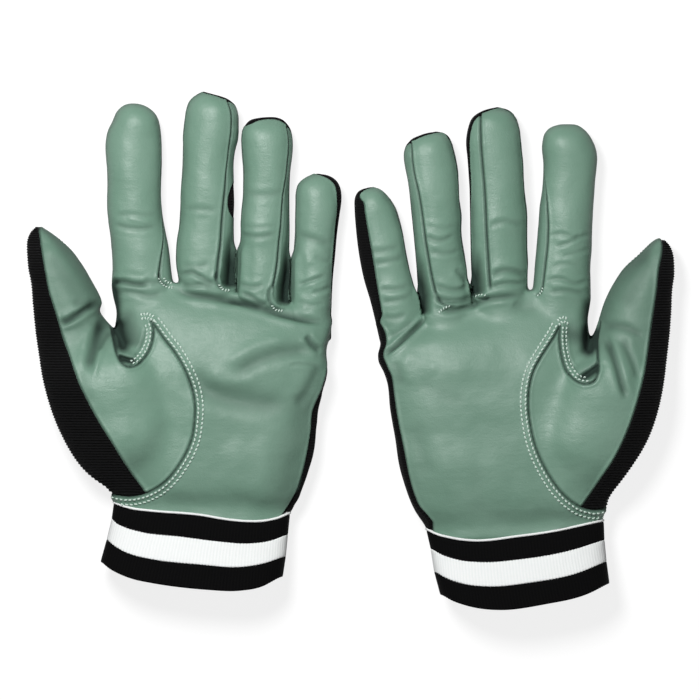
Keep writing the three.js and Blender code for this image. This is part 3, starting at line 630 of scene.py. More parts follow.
# The folds. Soft leather creases where the fingers and thumb bend and gathers round the thumb. A crease
# is its line, depth, width and the height of the lips that it pushes up, in millimetres; a ridge has a
# negative depth.
creases = {
    "left": [
        ([(114, 216), (128, 214.5), (146, 216), (160, 215)], 0.2, 1.2, 0.1),
        ([(126, 218), (140, 221), (152, 222)], -0.35, 1.1, 0),
        ([(112, 224), (128, 228), (142, 229), (161, 226)], 0.5, 1.2, 0.15),
        ([(112, 274), (128, 270), (150, 272)], -0.3, 2.2, 0),
        ([(107, 282), (122, 282), (136, 284.5), (152, 285)], 1.1, 1.25, 0.35),
        ([(142, 280), (154, 283), (166, 282)], 0.4, 1.3, 0.2),
        ([(114, 293), (132, 292), (150, 296), (164, 293)], 0.45, 1.5, 0.2),
        ([(181, 264), (195, 268), (212, 262)], 0.3, 1.6, 0.1),
        ([(178, 275), (192, 273), (206, 280), (217, 286)], 0.7, 1.1, 0.4),
        ([(177, 283), (190, 286), (204, 285), (214, 290)], 0.5, 1.2, 0.25),
        ([(170, 287), (188, 294), (214, 298), (238, 302), (262, 308), (290, 316), (312, 321), (332, 323)],
         1.3, 1.6, 0.5),
        ([(240, 291), (252, 297), (262, 303), (270, 304)], 0.7, 1.1, 0.3),
        ([(238, 283), (250, 287), (266, 285)], 0.4, 1.2, 0.2),
        ([(182, 210), (200, 209), (220, 212)], 0.22, 1.4, 0.1),
        ([(243, 194), (262, 196), (286, 193)], 0.3, 1.8, 0.15),
        ([(240, 234), (256, 237), (278, 234)], 0.4, 1.4, 0.15),
        ([(241, 226), (258, 228), (280, 225)], 0.2, 1.2, 0.1),
        ([(296, 235), (312, 239), (334, 247)], 0.5, 1.8, 0.2),
        ([(298, 244), (305, 254), (311, 268)], -0.45, 2.4, 0),
        ([(314, 256), (322, 260), (332, 262)], 0.25, 1.3, 0.1),
        ([(298, 285), (311, 281), (327, 275)], 0.45, 1.0, 0.3),
        ([(311, 293), (321, 291), (331, 286)], 0.4, 1.1, 0.25),
        ([(297, 294), (303, 302), (306, 312)], -0.4, 2.2, 0),
        ([(296, 300), (310, 305), (326, 303)], 0.25, 1.2, 0.1),
        ([(100, 303), (88, 308), (78, 315), (68, 321), (58, 323)], 1.25, 1.5, 0.7),
        ([(94, 300), (84, 303), (72, 305)], 0.4, 1.6, 0.2),
        ([(96, 320), (86, 326), (74, 329), (62, 332)], 0.3, 1.8, 0.15),
        ([(104, 316), (101, 329), (97, 341), (92, 356), (88, 374)], 1.9, 2.3, 0.3),
        ([(112, 333), (105, 345), (99, 360), (94, 384)], -0.7, 1.6, 0),
        ([(92, 322), (88, 334), (84, 350)], -0.45, 1.8, 0),
        ([(50, 250), (62, 270), (76, 290), (88, 306)], 0.9, 4.6, 0),
        ([(112, 331), (105, 340), (100, 352)], 0.6, 1.6, 0.2),
        ([(133.5, 362), (137.5, 353), (142, 344), (145, 334), (146, 326)], 0.4, 0.6, 0.3),
        ([(120, 360), (124.5, 363.8), (130, 365), (134, 363.5)], -0.6, 0.6, 0),
        ([(107, 330), (111, 342), (114.5, 354)], -0.6, 1.4, 0),
        ([(220, 262), (218.8, 275), (220.5, 284), (225, 289), (232, 289.5), (237, 285)], -0.8, 1.0, 0),
        ([(276.5, 268), (273, 285), (272, 296), (275.5, 304), (282, 308), (288, 304)], -0.8, 1.0, 0),
        ([(226, 299), (244, 303), (264, 309)], 0.5, 1.8, 0),
        ([(78, 366), (86, 388), (96, 406)], 0.35, 3.0, 0),
        ([(188, 366), (206, 388), (234, 399), (262, 403), (296, 404)], 1.9, 5.2, 0.3),
        ([(204, 372), (222, 381), (242, 382), (262, 376)], -0.9, 4.6, 0),
        ([(232, 379), (252, 364), (270, 356), (294, 351), (320, 348)], 1.15, 3.1, 0.25),
        ([(222, 370), (242, 354), (266, 343), (296, 338)], -0.7, 3.6, 0),
        ([(314, 388), (306, 430), (298, 475), (284, 530)], 2.0, 8.5, 0),
        ([(306, 334), (312, 344), (322, 352)], 1.1, 1.5, 0.35),
        ([(294, 408), (306, 395), (314, 380), (321, 362)], 0.9, 2.8, 0.1),
        ([(286, 366), (300, 364), (314, 366), (324, 372)], 0.25, 1.0, 0.15),
        ([(272, 420), (266, 455), (262, 490), (256, 515)], -0.5, 5.0, 0),
        ([(232, 440), (236, 470), (240, 500)], -0.25, 6.0, 0),
    ],
    "right": [
        ([(382, 357), (391, 349.5), (401, 341), (411, 332.5), (420, 324), (428, 315)], 1.3, 1.05, 0.65),
        ([(386, 336), (396, 334), (406, 328), (414, 320)], 0.3, 1.5, 0.15),
        ([(368, 252), (384, 251), (401, 246)], 0.3, 1.5, 0.15),
        ([(372, 264), (388, 262), (406, 258)], 0.3, 1.3, 0.15),
        ([(379, 289), (392, 290), (411, 286)], 0.4, 1.3, 0.2),
        ([(381, 302), (394, 301), (412, 297)], 0.35, 1.3, 0.15),
        ([(382, 317), (394, 318), (408, 314)], 0.3, 1.3, 0.15),
        ([(424, 236), (438, 241), (456, 235)], 0.45, 1.2, 0.2),
        ([(428, 251), (444, 254), (462, 250)], 0.35, 1.2, 0.15),
        ([(424, 226), (440, 229), (458, 226)], 0.2, 1.2, 0.1),
        ([(432, 284), (446, 289), (458, 290), (470, 286)], 0.5, 1.2, 0.25),
        ([(430, 296), (444, 301), (462, 301), (476, 296)], 0.75, 1.2, 0.4),
        ([(432, 308), (448, 311), (470, 306), (486, 300), (506, 297), (528, 296)], 0.9, 1.4, 0.5),
        ([(455, 268), (462, 276), (468, 284)], 0.5, 1.4, 0.3),
        ([(438, 313), (444, 308), (452, 304), (464, 305), (476, 304)], -0.6, 1.1, 0),
        ([(472, 291), (477, 295.5), (484, 294.5), (490, 293)], -0.6, 1.0, 0),
        ([(488, 226), (504, 222), (526, 227)], 0.35, 1.4, 0.15),
        ([(490, 277), (502, 271), (516, 272), (527, 277)], 0.7, 1.5, 0.3),
        ([(490, 287), (504, 284), (528, 284)], 0.5, 1.1, 0.3),
        ([(512, 302), (522, 308), (540, 306)], 0.5, 3.0, 0),
        ([(547, 236), (560, 234), (576, 238), (591, 233)], 0.3, 1.1, 0.2),
        ([(554, 247), (568, 243), (580, 237)], 0.35, 1.0, 0.2),
        ([(560, 257), (576, 253), (590, 248)], 0.25, 1.1, 0.15),
        ([(549, 268), (564, 264), (580, 267)], 0.2, 1.1, 0.1),
        ([(543, 281), (560, 279), (576, 284), (590, 280)], 0.4, 1.1, 0.25),
        ([(548, 292), (564, 291), (588, 295)], 0.45, 1.2, 0.25),
        ([(601, 328), (614, 326), (630, 330), (644, 338)], 0.7, 2.0, 0.3),
        ([(604, 334), (610, 350), (616, 368), (621, 386), (626, 402)], 1.2, 1.6, 0.4),
        ([(620, 336), (627, 352), (633, 366), (637, 382)], 0.7, 1.7, 0.2),
        ([(652, 248), (640, 270), (630, 292), (622, 312)], 0.9, 4.6, 0),
        ([(573, 306), (577, 324), (580, 340), (581, 354)], -0.7, 3.0, 0),
        ([(580, 374), (572, 366), (567, 354), (565.5, 342), (565, 332)], 0.4, 0.6, 0.3),
        ([(583, 381), (591, 380), (599, 373)], -0.5, 0.6, 0),
        ([(602, 338), (602, 352), (604, 366)], -0.6, 1.4, 0),
        ([(393, 360), (398, 372), (401, 388)], 0.5, 2.4, 0.2),
        ([(402, 352), (420, 362), (440, 372)], -0.4, 3.2, 0),
        ([(418, 380), (440, 394), (468, 402)], 0.35, 4.0, 0),
        ([(412, 420), (420, 450), (428, 480)], 0.45, 4.5, 0),
        ([(440, 430), (444, 460), (450, 500)], -0.3, 5.0, 0),
        ([(478, 520), (476, 490), (480, 460)], 0.25, 4.0, 0),
    ],
}
# The lower end of each strip between two fingers is sewn round in a small U, which sinks into the palm.
strip_ends = {
    "left": [[(159.5, 272), (160, 279), (165, 285), (171, 287)],
             [(217, 270), (216.5, 280), (221, 288), (229, 291)],
             [(273, 283), (269, 293), (270, 302), (275, 308), (283, 310)]],
    "right": [[(436, 292), (440, 302), (447, 306), (456, 308)],
              [(470, 286), (474, 295), (482, 299), (492, 297)],
              [(541, 286), (540, 293), (535, 296)]],
}
# The web between thumb and first finger sinks straight down in four hollows: one down the finger's side, a
# deep one beside the thumb's leather, a wide shallow one over the web, and one across its lower end. A hollow
# is its line, depth, width and how dark the shade painted into it is. The thumb's own leather stays up at
# its edge.
hollows = {
    "left": [([(113, 276), (116, 296), (116.5, 314), (116.5, 338)], 1.6, 1.9, 0.85),
             ([(116, 318), (119, 332), (122.5, 343), (124, 354)], 5.5, 3.1, 1.0),
             ([(121, 308), (128, 325), (133, 338), (133, 350)], 0.8, 4.2, 0.5),
             ([(115, 357.5), (126.5, 359.8), (138, 363)], 4.5, 1.6, 1.2)],
    "right": [([(590, 296), (588, 312), (588, 326), (591, 344)], 1.6, 2.4, 0.7),
              ([(591, 322), (589.5, 335), (588.5, 345), (590, 358)], 5.0, 2.9, 1.0),
              ([(560, 330), (574, 335), (586, 340), (600, 350)], 0.8, 4.4, 0.55),
              ([(576, 381), (588, 374), (597, 368.5), (608, 360)], 4.0, 2.1, 1.2)],
}
# Low down between the fingers a strip slopes from the finger's front into the crotch: the rows where it
# starts to drop, is down, and is sewn off again; the height it drops to, where on the strip the slope starts
# and ends, and how dark the shade painted on it is. It comes up again over these lengths before and after its
# last row.
pockets = {"left": {"middle": (228, 268, 287), "ring": (236, 274, 304)},
           "right": {"ring": (250, 292, 314), "middle": (244, 284, 295)}}
pocket_floor, pocket_slope, pocket_painted_shade = 7, (1.4, 7), 1.0
pocket_end = 1, 1.5
# A crease fades out over this share of its length at both ends, and ends so many widths beside its line.
# Its lips stand at so many widths from the line, and are so many widths broad.
crease_fade, crease_reach, lip_distance, lip_spread = 0.22, 4, 1.9, 1.1
crease_steps = 6
# Creases are painted darker as shade by their depth, and only those up to the sharp width get the darkest
# shade.
crease_painted_shade, sharp_width = 0.55, 1.5
seam_depth, seam_width, lip_height, lip_place, lip_width = 0.65, 0.6, 0.28, 1.2, 0.65
# How dark the shade painted along each kind of seam is, and how wide its painted dark line.
thumb_seam_painted_shade, thumb_seam_painted_shade_width = 0.8, 0.62
knit_seam_painted_shade, knit_seam_painted_shade_width = 0.6, 0.8
front_seam_painted_shade, front_seam_painted_shade_width = 0.9, 0.75
# Outside the thumb's seam the palm leather is folded under and stands up by this height, over the width times
# the spread, and it rounds off over its edge.
overlap_height, overlap_width, overlap_spread, overlap_edge = 0.5, 1.6, 2.2, 0.7
overlap_from = -0.01
# Reliefs start between two heights, and between two directions of the surface, which is 1 where it faces up.
upper_heights, swell_heights, rib_heights = (9, 13), (4, 9), (1.5, 4)
crease_facing, hollow_facing, side_facing = (0.05, 0.5), (-0.3, 0.1), (0.05, 0.85)
# They also start over these distances past a fold or a seam.
finger_start, front_seam_start, strip_start = (-3, 0), (-1.5, 0), (0, 0.4)
hollow_start, swell_start, rib_start, thumb_painted_shade_start = (0, 0.8), (0, 3), (0.2, 1), (-15, 5)
# A finger's front is folded under at its seam, so it stands above the strip beside it.
strip_step, strip_step_width = 0.55, 2.2
# The seam of a first finger runs out at its side, between these two distances from the tip.
index_seam_end = 26, 14
# Where the leather turns down at the sides of the fingers, away from the light, it is painted darker as
# shade.
side_painted_shade = 0.44
# The thumb beyond its fold is painted darker as shade too, and so, a little, is the palm.
thumb_painted_shade, palm_painted_shade = 0.19, 0.06
# Soft leather never lies quite even: each swell is its length, direction, place and height.
swells = [(42, 12, 0.3, 0.3), (31, 75, 1.9, 0.2), (23, 130, 4.1, 0.11), (16, 35, 2.2, 0.05),
          (12.5, 100, 5.0, 0.03), (9, 160, 0.9, 0.02), (6.6, 60, 3.3, 0.015)]
# The swells lean by these shares of the height, and bend by so many radians over so many of their lengths.
swell_lean, swell_bend, swell_bend_length = (0.4, -0.3), 1.3, 1.7
# On the side of the thumb the ribs of the knit are shaped too: their pitch, and half their height.
rib_pitch, rib_height = 1.3, 0.22
shortest_normal = 1e-12


def groove(distance, depth=seam_depth, lip=lip_height):
    """Height beside a sewn seam: a sharp valley between two rolled edges."""
    return (lip * np.exp(-(((np.abs(distance) - lip_place) / lip_width) ** 2))
            - depth * np.exp(-((distance / seam_width) ** 2)))


def line_relief(points, line, depth, width, lip):
    """Height beside a crease that fades out at both ends, and how deep the crease is."""
    drafted = lay(curve(line, crease_steps))
    reach = crease_reach * width
    low, high = drafted.min(axis=0) - reach, drafted.max(axis=0) + reach
    near = ((points[:, :2] > low) & (points[:, :2] < high)).all(axis=1)
    table = points[near, :2]
    nearest, place = np.full(len(table), np.inf), np.zeros(len(table))
    for i, (a, b) in enumerate(zip(drafted[:-1], drafted[1:])):
        step = b - a
        share = np.clip(((table - a) @ step) / (step @ step), 0, 1)
        distance = np.linalg.norm(table - a - share[:, None] * step, axis=1)
        closer = distance < nearest
        nearest, place = np.where(closer, distance, nearest), np.where(closer, i + share, place)
    place /= len(drafted) - 1
    fade = ease(place, 0, crease_fade) * ease(1 - place, 0, crease_fade)
    cut = np.exp(-((nearest / width) ** 2)) * fade
    lips = np.exp(-(((nearest - lip_distance * width) / (lip_spread * width)) ** 2))
    rise = -depth * cut + lip * lips * fade
    relief, depths = np.zeros(len(points)), np.zeros(len(points))
    relief[near], depths[near] = rise, max(depth, 0) * cut
    return relief, depths


def uneven(points):
    """Height of the swells of soft leather."""
    height = np.zeros(len(points))
    for length, direction, place, rise in swells:
        turn = np.radians(direction)
        ahead = points @ np.array([np.cos(turn), np.sin(turn), swell_lean[0]])
        aside = points @ np.array([-np.sin(turn), np.cos(turn), swell_lean[1]])
        bent = swell_bend * np.sin(2 * np.pi * aside / (swell_bend_length * length) + place)
        height += rise * np.sin(2 * np.pi * ahead / length + place + bent)
    return height


def vertex_normals(points, faces):
    """The mean direction of the faces round each point."""
    a, b, c = (points[faces[:, k]] for k in range(3))
    across = np.cross(b - a, c - a)
    total = np.column_stack([sum(np.bincount(faces[:, k], across[:, i], len(points)) for k in range(3))
                             for i in range(3)])
    return total / np.maximum(np.linalg.norm(total, axis=1), shortest_normal)[:, None]


def in_thumb_knit(skin, margin=0.0):
    """Which points lie on the knit side of the thumb, above the table."""
    thumb_seam, thumb_knit = skin[:, column["thumb_seam"]], skin[:, column["thumb_knit"]]
    return (thumb_seam < margin) & (thumb_knit < margin) & (skin[:, 2] > rib_heights[0])


def emboss(side, skin, faces):
    """Presses seams and creases into the form. Gives its points, their directions and how much shade is
    painted on each.
    """
    points = skin[:, :3].copy()
    normals = vertex_normals(points, faces)
    marked = {name: skin[:, at] for name, at in column.items()}
    facing = ease(normals[:, 2], *crease_facing)
    upper = ease(points[:, 2], *upper_heights)
    on_finger = ease(marked["fold"], *finger_start)
    height = np.zeros(len(points))
    # Shade painted into the colour: along the seams, in creases, hollows, strip ends and crotches, on the
    # sides of the fingers, on the thumb and a little on the palm.
    painted_shade_sum = np.zeros(len(points))
    thumb_seam = marked["thumb_seam"]

    outside = np.clip(thumb_seam, 0, None)
    overlap = overlap_height * np.exp(-((outside / (overlap_spread * overlap_width)) ** 4))
    beside_seam = ease(np.abs(thumb_seam), 0, overlap_edge)
    height += upper * np.where(thumb_seam > overlap_from, overlap, 0) * beside_seam
    height += upper * groove(thumb_seam)
    # A dark line of painted shade along the thumb's seam and along the knit's seam.
    painted_shade_sum += thumb_seam_painted_shade * upper * np.exp(-((thumb_seam / thumb_seam_painted_shade_width) ** 2))
    knit = np.where(thumb_seam < 0, marked["thumb_knit"], marked["knit"])
    height += groove(knit)
    painted_shade_sum += knit_seam_painted_shade * np.exp(-((knit / knit_seam_painted_shade_width) ** 2))
    # Painted shade on the sides turned from the light, on the thumb beyond its fold and a little on the palm.
    painted_shade_sum += side_painted_shade * (1 - ease(normals[:, 2], *side_facing))
    painted_shade_sum += np.where(thumb_seam < 0, thumb_painted_shade * ease(marked["thumb_fold"], *thumb_painted_shade_start),
                     palm_painted_shade * (1 - on_finger))

    on_index = np.round(marked["finger"]) == 0
    index_tip = marked["fold"][on_index].max()
    seam_end = np.where(on_index, 1 - ease(marked["fold"], *(index_tip - end for end in index_seam_end)), 1)
    for name in ("front_little", "front_thumb"):
        shown = on_finger * ease(knit, *front_seam_start) * seam_end
        height += shown * groove(marked[name])
        on_strip = np.clip(-marked[name], 0, None)
        drop = np.exp(-((on_strip / strip_step_width) ** 2))
        height -= shown * strip_step * ease(on_strip, *strip_start) * drop
        # A dark line of painted shade along the front seam.
        painted_shade_sum += front_seam_painted_shade * shown * np.exp(-((marked[name] / front_seam_painted_shade_width) ** 2))
    for line, depth, width, lip in creases[side]:
        rise, deep = line_relief(points, line, depth, width, lip)
        height += rise * facing
        # Painted shade in the crease.
        painted_shade_sum += crease_painted_shade * deep * min(1, sharp_width / width) * facing
    sunk = np.zeros(len(points))
    for line, depth, width, hollow_painted_shade in hollows[side]:
        _, deep = line_relief(points, line, depth, width, 0)
        shown = ease(thumb_seam, *hollow_start)
        sunk += deep * shown * facing
        # Painted shade in the hollow.
        painted_shade_sum += hollow_painted_shade * deep / depth * shown * ease(normals[:, 2], *hollow_facing)
    for line in strip_ends[side]:
        rise, deep = line_relief(points, line, seam_depth, seam_width, lip_height)
        height += rise * facing
        # Painted shade in the U's groove.
        painted_shade_sum += deep * facing
    height += uneven(points) * ease(knit, *swell_start) * ease(points[:, 2], *swell_heights)
    ribbed = in_thumb_knit(skin) * ease(-marked["thumb_knit"], *rib_start) * ease(points[:, 2], *rib_heights)
    height += ribbed * rib_height * (np.cos(marked["ribs"] * 2 * np.pi / rib_pitch) - 1)
    points += normals * height[:, None]
    points[:, 2] -= sunk

    for finger, rows in pockets[side].items():
        start, down, end = (lay((0, row))[1] for row in rows)
        shown = 1 - ease(points[:, 1], down, start)
        shown *= ease(points[:, 1], end - pocket_end[0], end + pocket_end[1])
        shown *= np.round(marked["finger"]) == finger_names.index(finger)
        shown *= ease(-marked["front_little"], *pocket_slope)
        points[:, 2] -= np.clip(points[:, 2] - pocket_floor, 0, None) * shown
        # Painted shade on the pocket's slope.
        painted_shade_sum += pocket_painted_shade * shown
    points[:, 2] = np.maximum(points[:, 2], 0)
    return points, vertex_normals(points, faces), np.clip(painted_shade_sum, 0, 1)


# The leather: palm, finger fronts, strips and thumb. It is soft, thin, fine-grained glove leather in sage
# green with a light glaze, so that its grain shines softly. Shade is painted into it as the dark green below,
# and where it is painted it is duller too.
leather_colour, leather_light = (0.164, 0.295, 0.219), (0.188, 0.321, 0.244)
leather_painted_shade, crease_dullness = (0.014, 0.034, 0.025), 0.45
leather_patch_scale, leather_pore_scale, leather_grain_scale = 38, 1500, 520
wrinkle_stretch = 3.2


def material(name, roughness, colour):
    """A material, its nodes, its links and its shader."""
    made = bpy.data.materials.new(name)
    made.use_nodes = True
    nodes, links = made.node_tree.nodes, made.node_tree.links
    shader = nodes["Principled BSDF"]
    shader.inputs["Roughness"].default_value = roughness
    shader.inputs["Base Color"].default_value = (*colour, 1)
    return made, nodes, links, shader


def node(nodes, kind, **settings):
    """A node with its properties and inputs set by name."""
    made = nodes.new(kind)
    for name, value in settings.items():
        if hasattr(made, name):
            setattr(made, name, value)
        else:
            made.inputs[name.replace("_", " ")].default_value = value
    return made


def blend_colours(nodes, links, share, first, second):
    """A colour between two, each a colour or an output, by a share from an output."""
    mix = nodes.new("ShaderNodeMix")
    mix.data_type = "RGBA"
    links.new(share, mix.inputs["Factor"])
    for socket, value in ((mix.inputs["A"], first), (mix.inputs["B"], second)):
        if isinstance(value, tuple):
            socket.default_value = (*value, 1)
        else:
            links.new(value, socket)
    return mix.outputs["Result"]


def make_leather():
    """Sage leather: two close greens in patches, with painted shade, pores, grain and fine wrinkles."""
    made, nodes, links, shader = material("sage leather", 0.44, leather_colour)
    shader.inputs["Specular IOR Level"].default_value = 0.48
    place = nodes.new("ShaderNodeTexCoord").outputs["Object"]
    patch = node(nodes, "ShaderNodeTexNoise", Scale=leather_patch_scale, Detail=4.0, Roughness=0.55)
    pores = node(nodes, "ShaderNodeTexVoronoi", Scale=leather_pore_scale)
    grain = node(nodes, "ShaderNodeTexNoise", Scale=leather_grain_scale, Detail=5.0, Roughness=0.6)
    for texture in (patch, pores, grain):
        links.new(place, texture.inputs["Vector"])
    shade = node(nodes, "ShaderNodeMapRange", From_Min=0.35, From_Max=0.65)
    links.new(patch.outputs["Fac"], shade.inputs["Value"])
    colour = blend_colours(nodes, links, shade.outputs["Result"], leather_colour, leather_light)
    # The painted shade mixes the colour towards the dark green and makes it duller.
    painted_shade = node(nodes, "ShaderNodeAttribute", attribute_name="painted_shade")
    colour = blend_colours(nodes, links, painted_shade.outputs["Fac"], colour, leather_painted_shade)
    links.new(colour, shader.inputs["Base Color"])
    gloss = node(nodes, "ShaderNodeMapRange", From_Min=0.3, From_Max=0.7, To_Min=0.41, To_Max=0.5)
    links.new(grain.outputs["Fac"], gloss.inputs["Value"])
    dull = node(nodes, "ShaderNodeMath", operation="MULTIPLY_ADD")
    dull.inputs[1].default_value = crease_dullness
    links.new(painted_shade.outputs["Fac"], dull.inputs[0])
    links.new(gloss.outputs["Result"], dull.inputs[2])
    links.new(dull.outputs["Value"], shader.inputs["Roughness"])
    stretch = node(nodes, "ShaderNodeMapping")
    stretch.inputs["Scale"].default_value = (1, wrinkle_stretch, 1)
    wrinkles = node(nodes, "ShaderNodeTexNoise", Scale=130.0, Detail=3.0, Roughness=0.5)
    links.new(place, stretch.inputs["Vector"])
    links.new(stretch.outputs["Vector"], wrinkles.inputs["Vector"])
    wrinkle_bump = node(nodes, "ShaderNodeBump", Strength=0.2, Distance=0.0006)
    links.new(wrinkles.outputs["Fac"], wrinkle_bump.inputs["Height"])
    pore_bump = node(nodes, "ShaderNodeBump", Strength=0.22, Distance=0.0002)
    grain_bump = node(nodes, "ShaderNodeBump", Strength=0.25, Distance=0.0004)
    links.new(pores.outputs["Distance"], pore_bump.inputs["Height"])
    links.new(grain.outputs["Fac"], grain_bump.inputs["Height"])
    links.new(wrinkle_bump.outputs["Normal"], pore_bump.inputs["Normal"])
    links.new(pore_bump.outputs["Normal"], grain_bump.inputs["Normal"])
    links.new(grain_bump.outputs["Normal"], shader.inputs["Normal"])
    return made


leather = make_leather()


def piece(name, points, faces, finish, values=None, normals=None):
    """A mesh piece in the scene, from points in millimetres, with named values at its points."""
    mesh = bpy.data.meshes.new(name)
    if isinstance(faces, np.ndarray):
        mesh.vertices.add(len(points))
        mesh.vertices.foreach_set("co", (points / 1000).astype(np.float32).ravel())
        size = faces.shape[1]
        mesh.loops.add(faces.size)
        mesh.loops.foreach_set("vertex_index", faces.ravel().astype(np.int32))
        mesh.polygons.add(len(faces))
        mesh.polygons.foreach_set("loop_start", np.arange(0, faces.size, size, dtype=np.int32))
        mesh.update(calc_edges=True)
    else:
        mesh.from_pydata((np.asarray(points) / 1000).tolist(), [], faces)
    mesh.shade_smooth()
    for label, value in (values or {}).items():
        mesh.attributes.new(label, "FLOAT", "POINT").data.foreach_set("value", value.astype(np.float32))
    if normals is not None:
        mesh.normals_split_custom_set_from_vertices(normals.tolist())
    mesh.materials.append(finish)
    made = bpy.data.objects.new(name, mesh)
    bpy.context.scene.collection.objects.link(made)
    return made


def panel(name, shape, chosen, finish):
    """One panel of the form: the chosen faces, with the whole form's directions at its edge."""
    points, normals, painted_shade, faces, along = shape
    used, corners = np.unique(faces[chosen], return_inverse=True)
    return piece(name, points[used], corners.reshape(-1, 3), finish,
                 {"painted_shade": painted_shade[used], "along": along[used]}, normals[used])


# The knit: a black ribbed fabric for the backs and for the side of the thumb. Its ribs lie across the hand,
# which gives the edge of the thumb its fine teeth, and it is sewn to the leather all round.
# Between the ribs the black is painted darker as shade.
knit_colour, knit_valley_painted_shade = (0.0045, 0.0045, 0.0048), (0.0012, 0.0012, 0.0014)
# The ribs get points of their own up to the first distance past the knit's edge, in so many rounds. None
# comes nearer to a point that is there than the second number, as a share of the triangle's side.
rib_margin, rib_snap, rib_cuts = 0.1, 0.02, 2


def make_knit():
    """Black ribs across the hand, painted darker between them as shade, with the stitches and the fuzz of the
    yarn.
    """
    made, nodes, links, shader = material("black rib knit", 0.92, knit_colour)
    shader.inputs["Sheen Weight"].default_value = 0.02
    shader.inputs["Specular IOR Level"].default_value = 0.15
    place = nodes.new("ShaderNodeTexCoord").outputs["Object"]
    along = node(nodes, "ShaderNodeAttribute", attribute_name="along")
    turns = node(nodes, "ShaderNodeMath", operation="MULTIPLY")
    turns.inputs[1].default_value = 2 * np.pi / rib_pitch
    wave = node(nodes, "ShaderNodeMath", operation="COSINE")
    links.new(along.outputs["Fac"], turns.inputs[0])
    links.new(turns.outputs["Value"], wave.inputs[0])
    rib = node(nodes, "ShaderNodeMapRange", From_Min=-1.0, From_Max=0.6)
    links.new(wave.outputs["Value"], rib.inputs["Value"])
    yarn = node(nodes, "ShaderNodeTexNoise", Scale=2600.0, Detail=3.0, Roughness=0.6)
    stitch = node(nodes, "ShaderNodeTexVoronoi", Scale=1100.0)
    links.new(place, yarn.inputs["Vector"])
    links.new(place, stitch.inputs["Vector"])
    colour = blend_colours(nodes, links, rib.outputs["Result"], knit_valley_painted_shade, knit_colour)
    links.new(colour, shader.inputs["Base Color"])
    rib_bump = node(nodes, "ShaderNodeBump", Strength=0.8, Distance=0.0004)
    yarn_bump = node(nodes, "ShaderNodeBump", Strength=0.5, Distance=0.0002)
    stitch_bump = node(nodes, "ShaderNodeBump", Strength=0.4, Distance=0.0003)
    links.new(rib.outputs["Result"], rib_bump.inputs["Height"])
    links.new(yarn.outputs["Fac"], yarn_bump.inputs["Height"])
    links.new(stitch.outputs["Distance"], stitch_bump.inputs["Height"])
    links.new(rib_bump.outputs["Normal"], stitch_bump.inputs["Normal"])
    links.new(stitch_bump.outputs["Normal"], yarn_bump.inputs["Normal"])
    links.new(yarn_bump.outputs["Normal"], shader.inputs["Normal"])
    return made


knit = make_knit()


def cut_ribs(skin, faces):
    """A line of points along each crest and valley of the ribs on the side of the thumb."""
    def share_of(edges):
        ribbed = in_thumb_knit(skin, rib_margin)[edges].all(axis=1)
        a, b = (skin[edges[:, k], column["ribs"]] / (rib_pitch / 2) for k in (0, 1))
        level = np.floor(np.maximum(a, b))
        share = (level - a) / np.where(a == b, 1, b - a)
        return np.where(ribbed & (share > rib_snap) & (share < 1 - rib_snap), share, np.nan)

    for _ in range(rib_cuts):
        skin, faces = split(skin, faces, share_of)
    return skin, faces


# The wrist. The hand ends along a slanting line that sags at the front, where a white piping is sewn on. A
# ring round the wrist is drafted as its front line, from one end to the other, and has a height.
wrist_fronts = {
    "left": [(113.6, 501), (118, 503.2), (124, 505.4), (132, 507.4), (150, 509.2), (200, 513), (230, 518),
             (250, 520), (265, 520), (280, 517), (290.3, 511.5)],
    "right": [(425.8, 527.5), (434, 533), (450, 537), (470, 539), (520, 534), (550, 530), (590, 522),
              (603.5, 519)],
}
wrist_height, wrist_squareness = 23, 2.7
# The sag grows with the height above the wrist's middle, to this power, and is turned round at the back.
sag_power, ring_samples = 0.6, 721


def ring_y(x, rise, front):
    """Where along the glove a slanting ring lies, by the place across and a rise from -1 at the back to 1."""
    line = lay(curve(front))
    line = line[line[:, 0].argsort()]
    straight = np.interp(x, line[[0, -1], 0], line[[0, -1], 1])
    sag = np.interp(x, line[:, 0], line[:, 1]) - straight
    return straight + np.sign(rise) * np.abs(rise) ** sag_power * sag


def wrist_ring(front, height, count, inset=0.0):
    """Evenly spaced points round a slanting ring."""
    line = lay(curve(front))
    line = line[line[:, 0].argsort()]
    angle = np.linspace(0, 2 * np.pi, ring_samples)
    power = 2 / wrist_squareness
    across, rise = (np.sign(w) * np.abs(w) ** power for w in (np.cos(angle), np.sin(angle)))
    reach = (line[-1, 0] - line[0, 0]) / 2 - inset
    x = (line[0, 0] + line[-1, 0]) / 2 + across * reach
    z = height / 2 - rest_sink + rise * (height / 2 - inset)
    points = np.column_stack([x, ring_y(x, rise, front), np.maximum(z, inset)])
    length = np.append(0, np.cumsum(np.linalg.norm(np.diff(points, axis=0), axis=1)))
    at = np.arange(count) / count * length[-1]
    return np.column_stack([np.interp(at, length, points[:, k]) for k in range(3)])


def above_wrist(side):
    """A function that says how far above the wrist's line each point lies."""
    def distance(skin):
        rise = np.clip((skin[:, 2] - wrist_height / 2 + rest_sink) / (wrist_height / 2), -1, 1)
        return skin[:, 1] - ring_y(skin[:, 0], rise, wrist_fronts[side])
    return distance
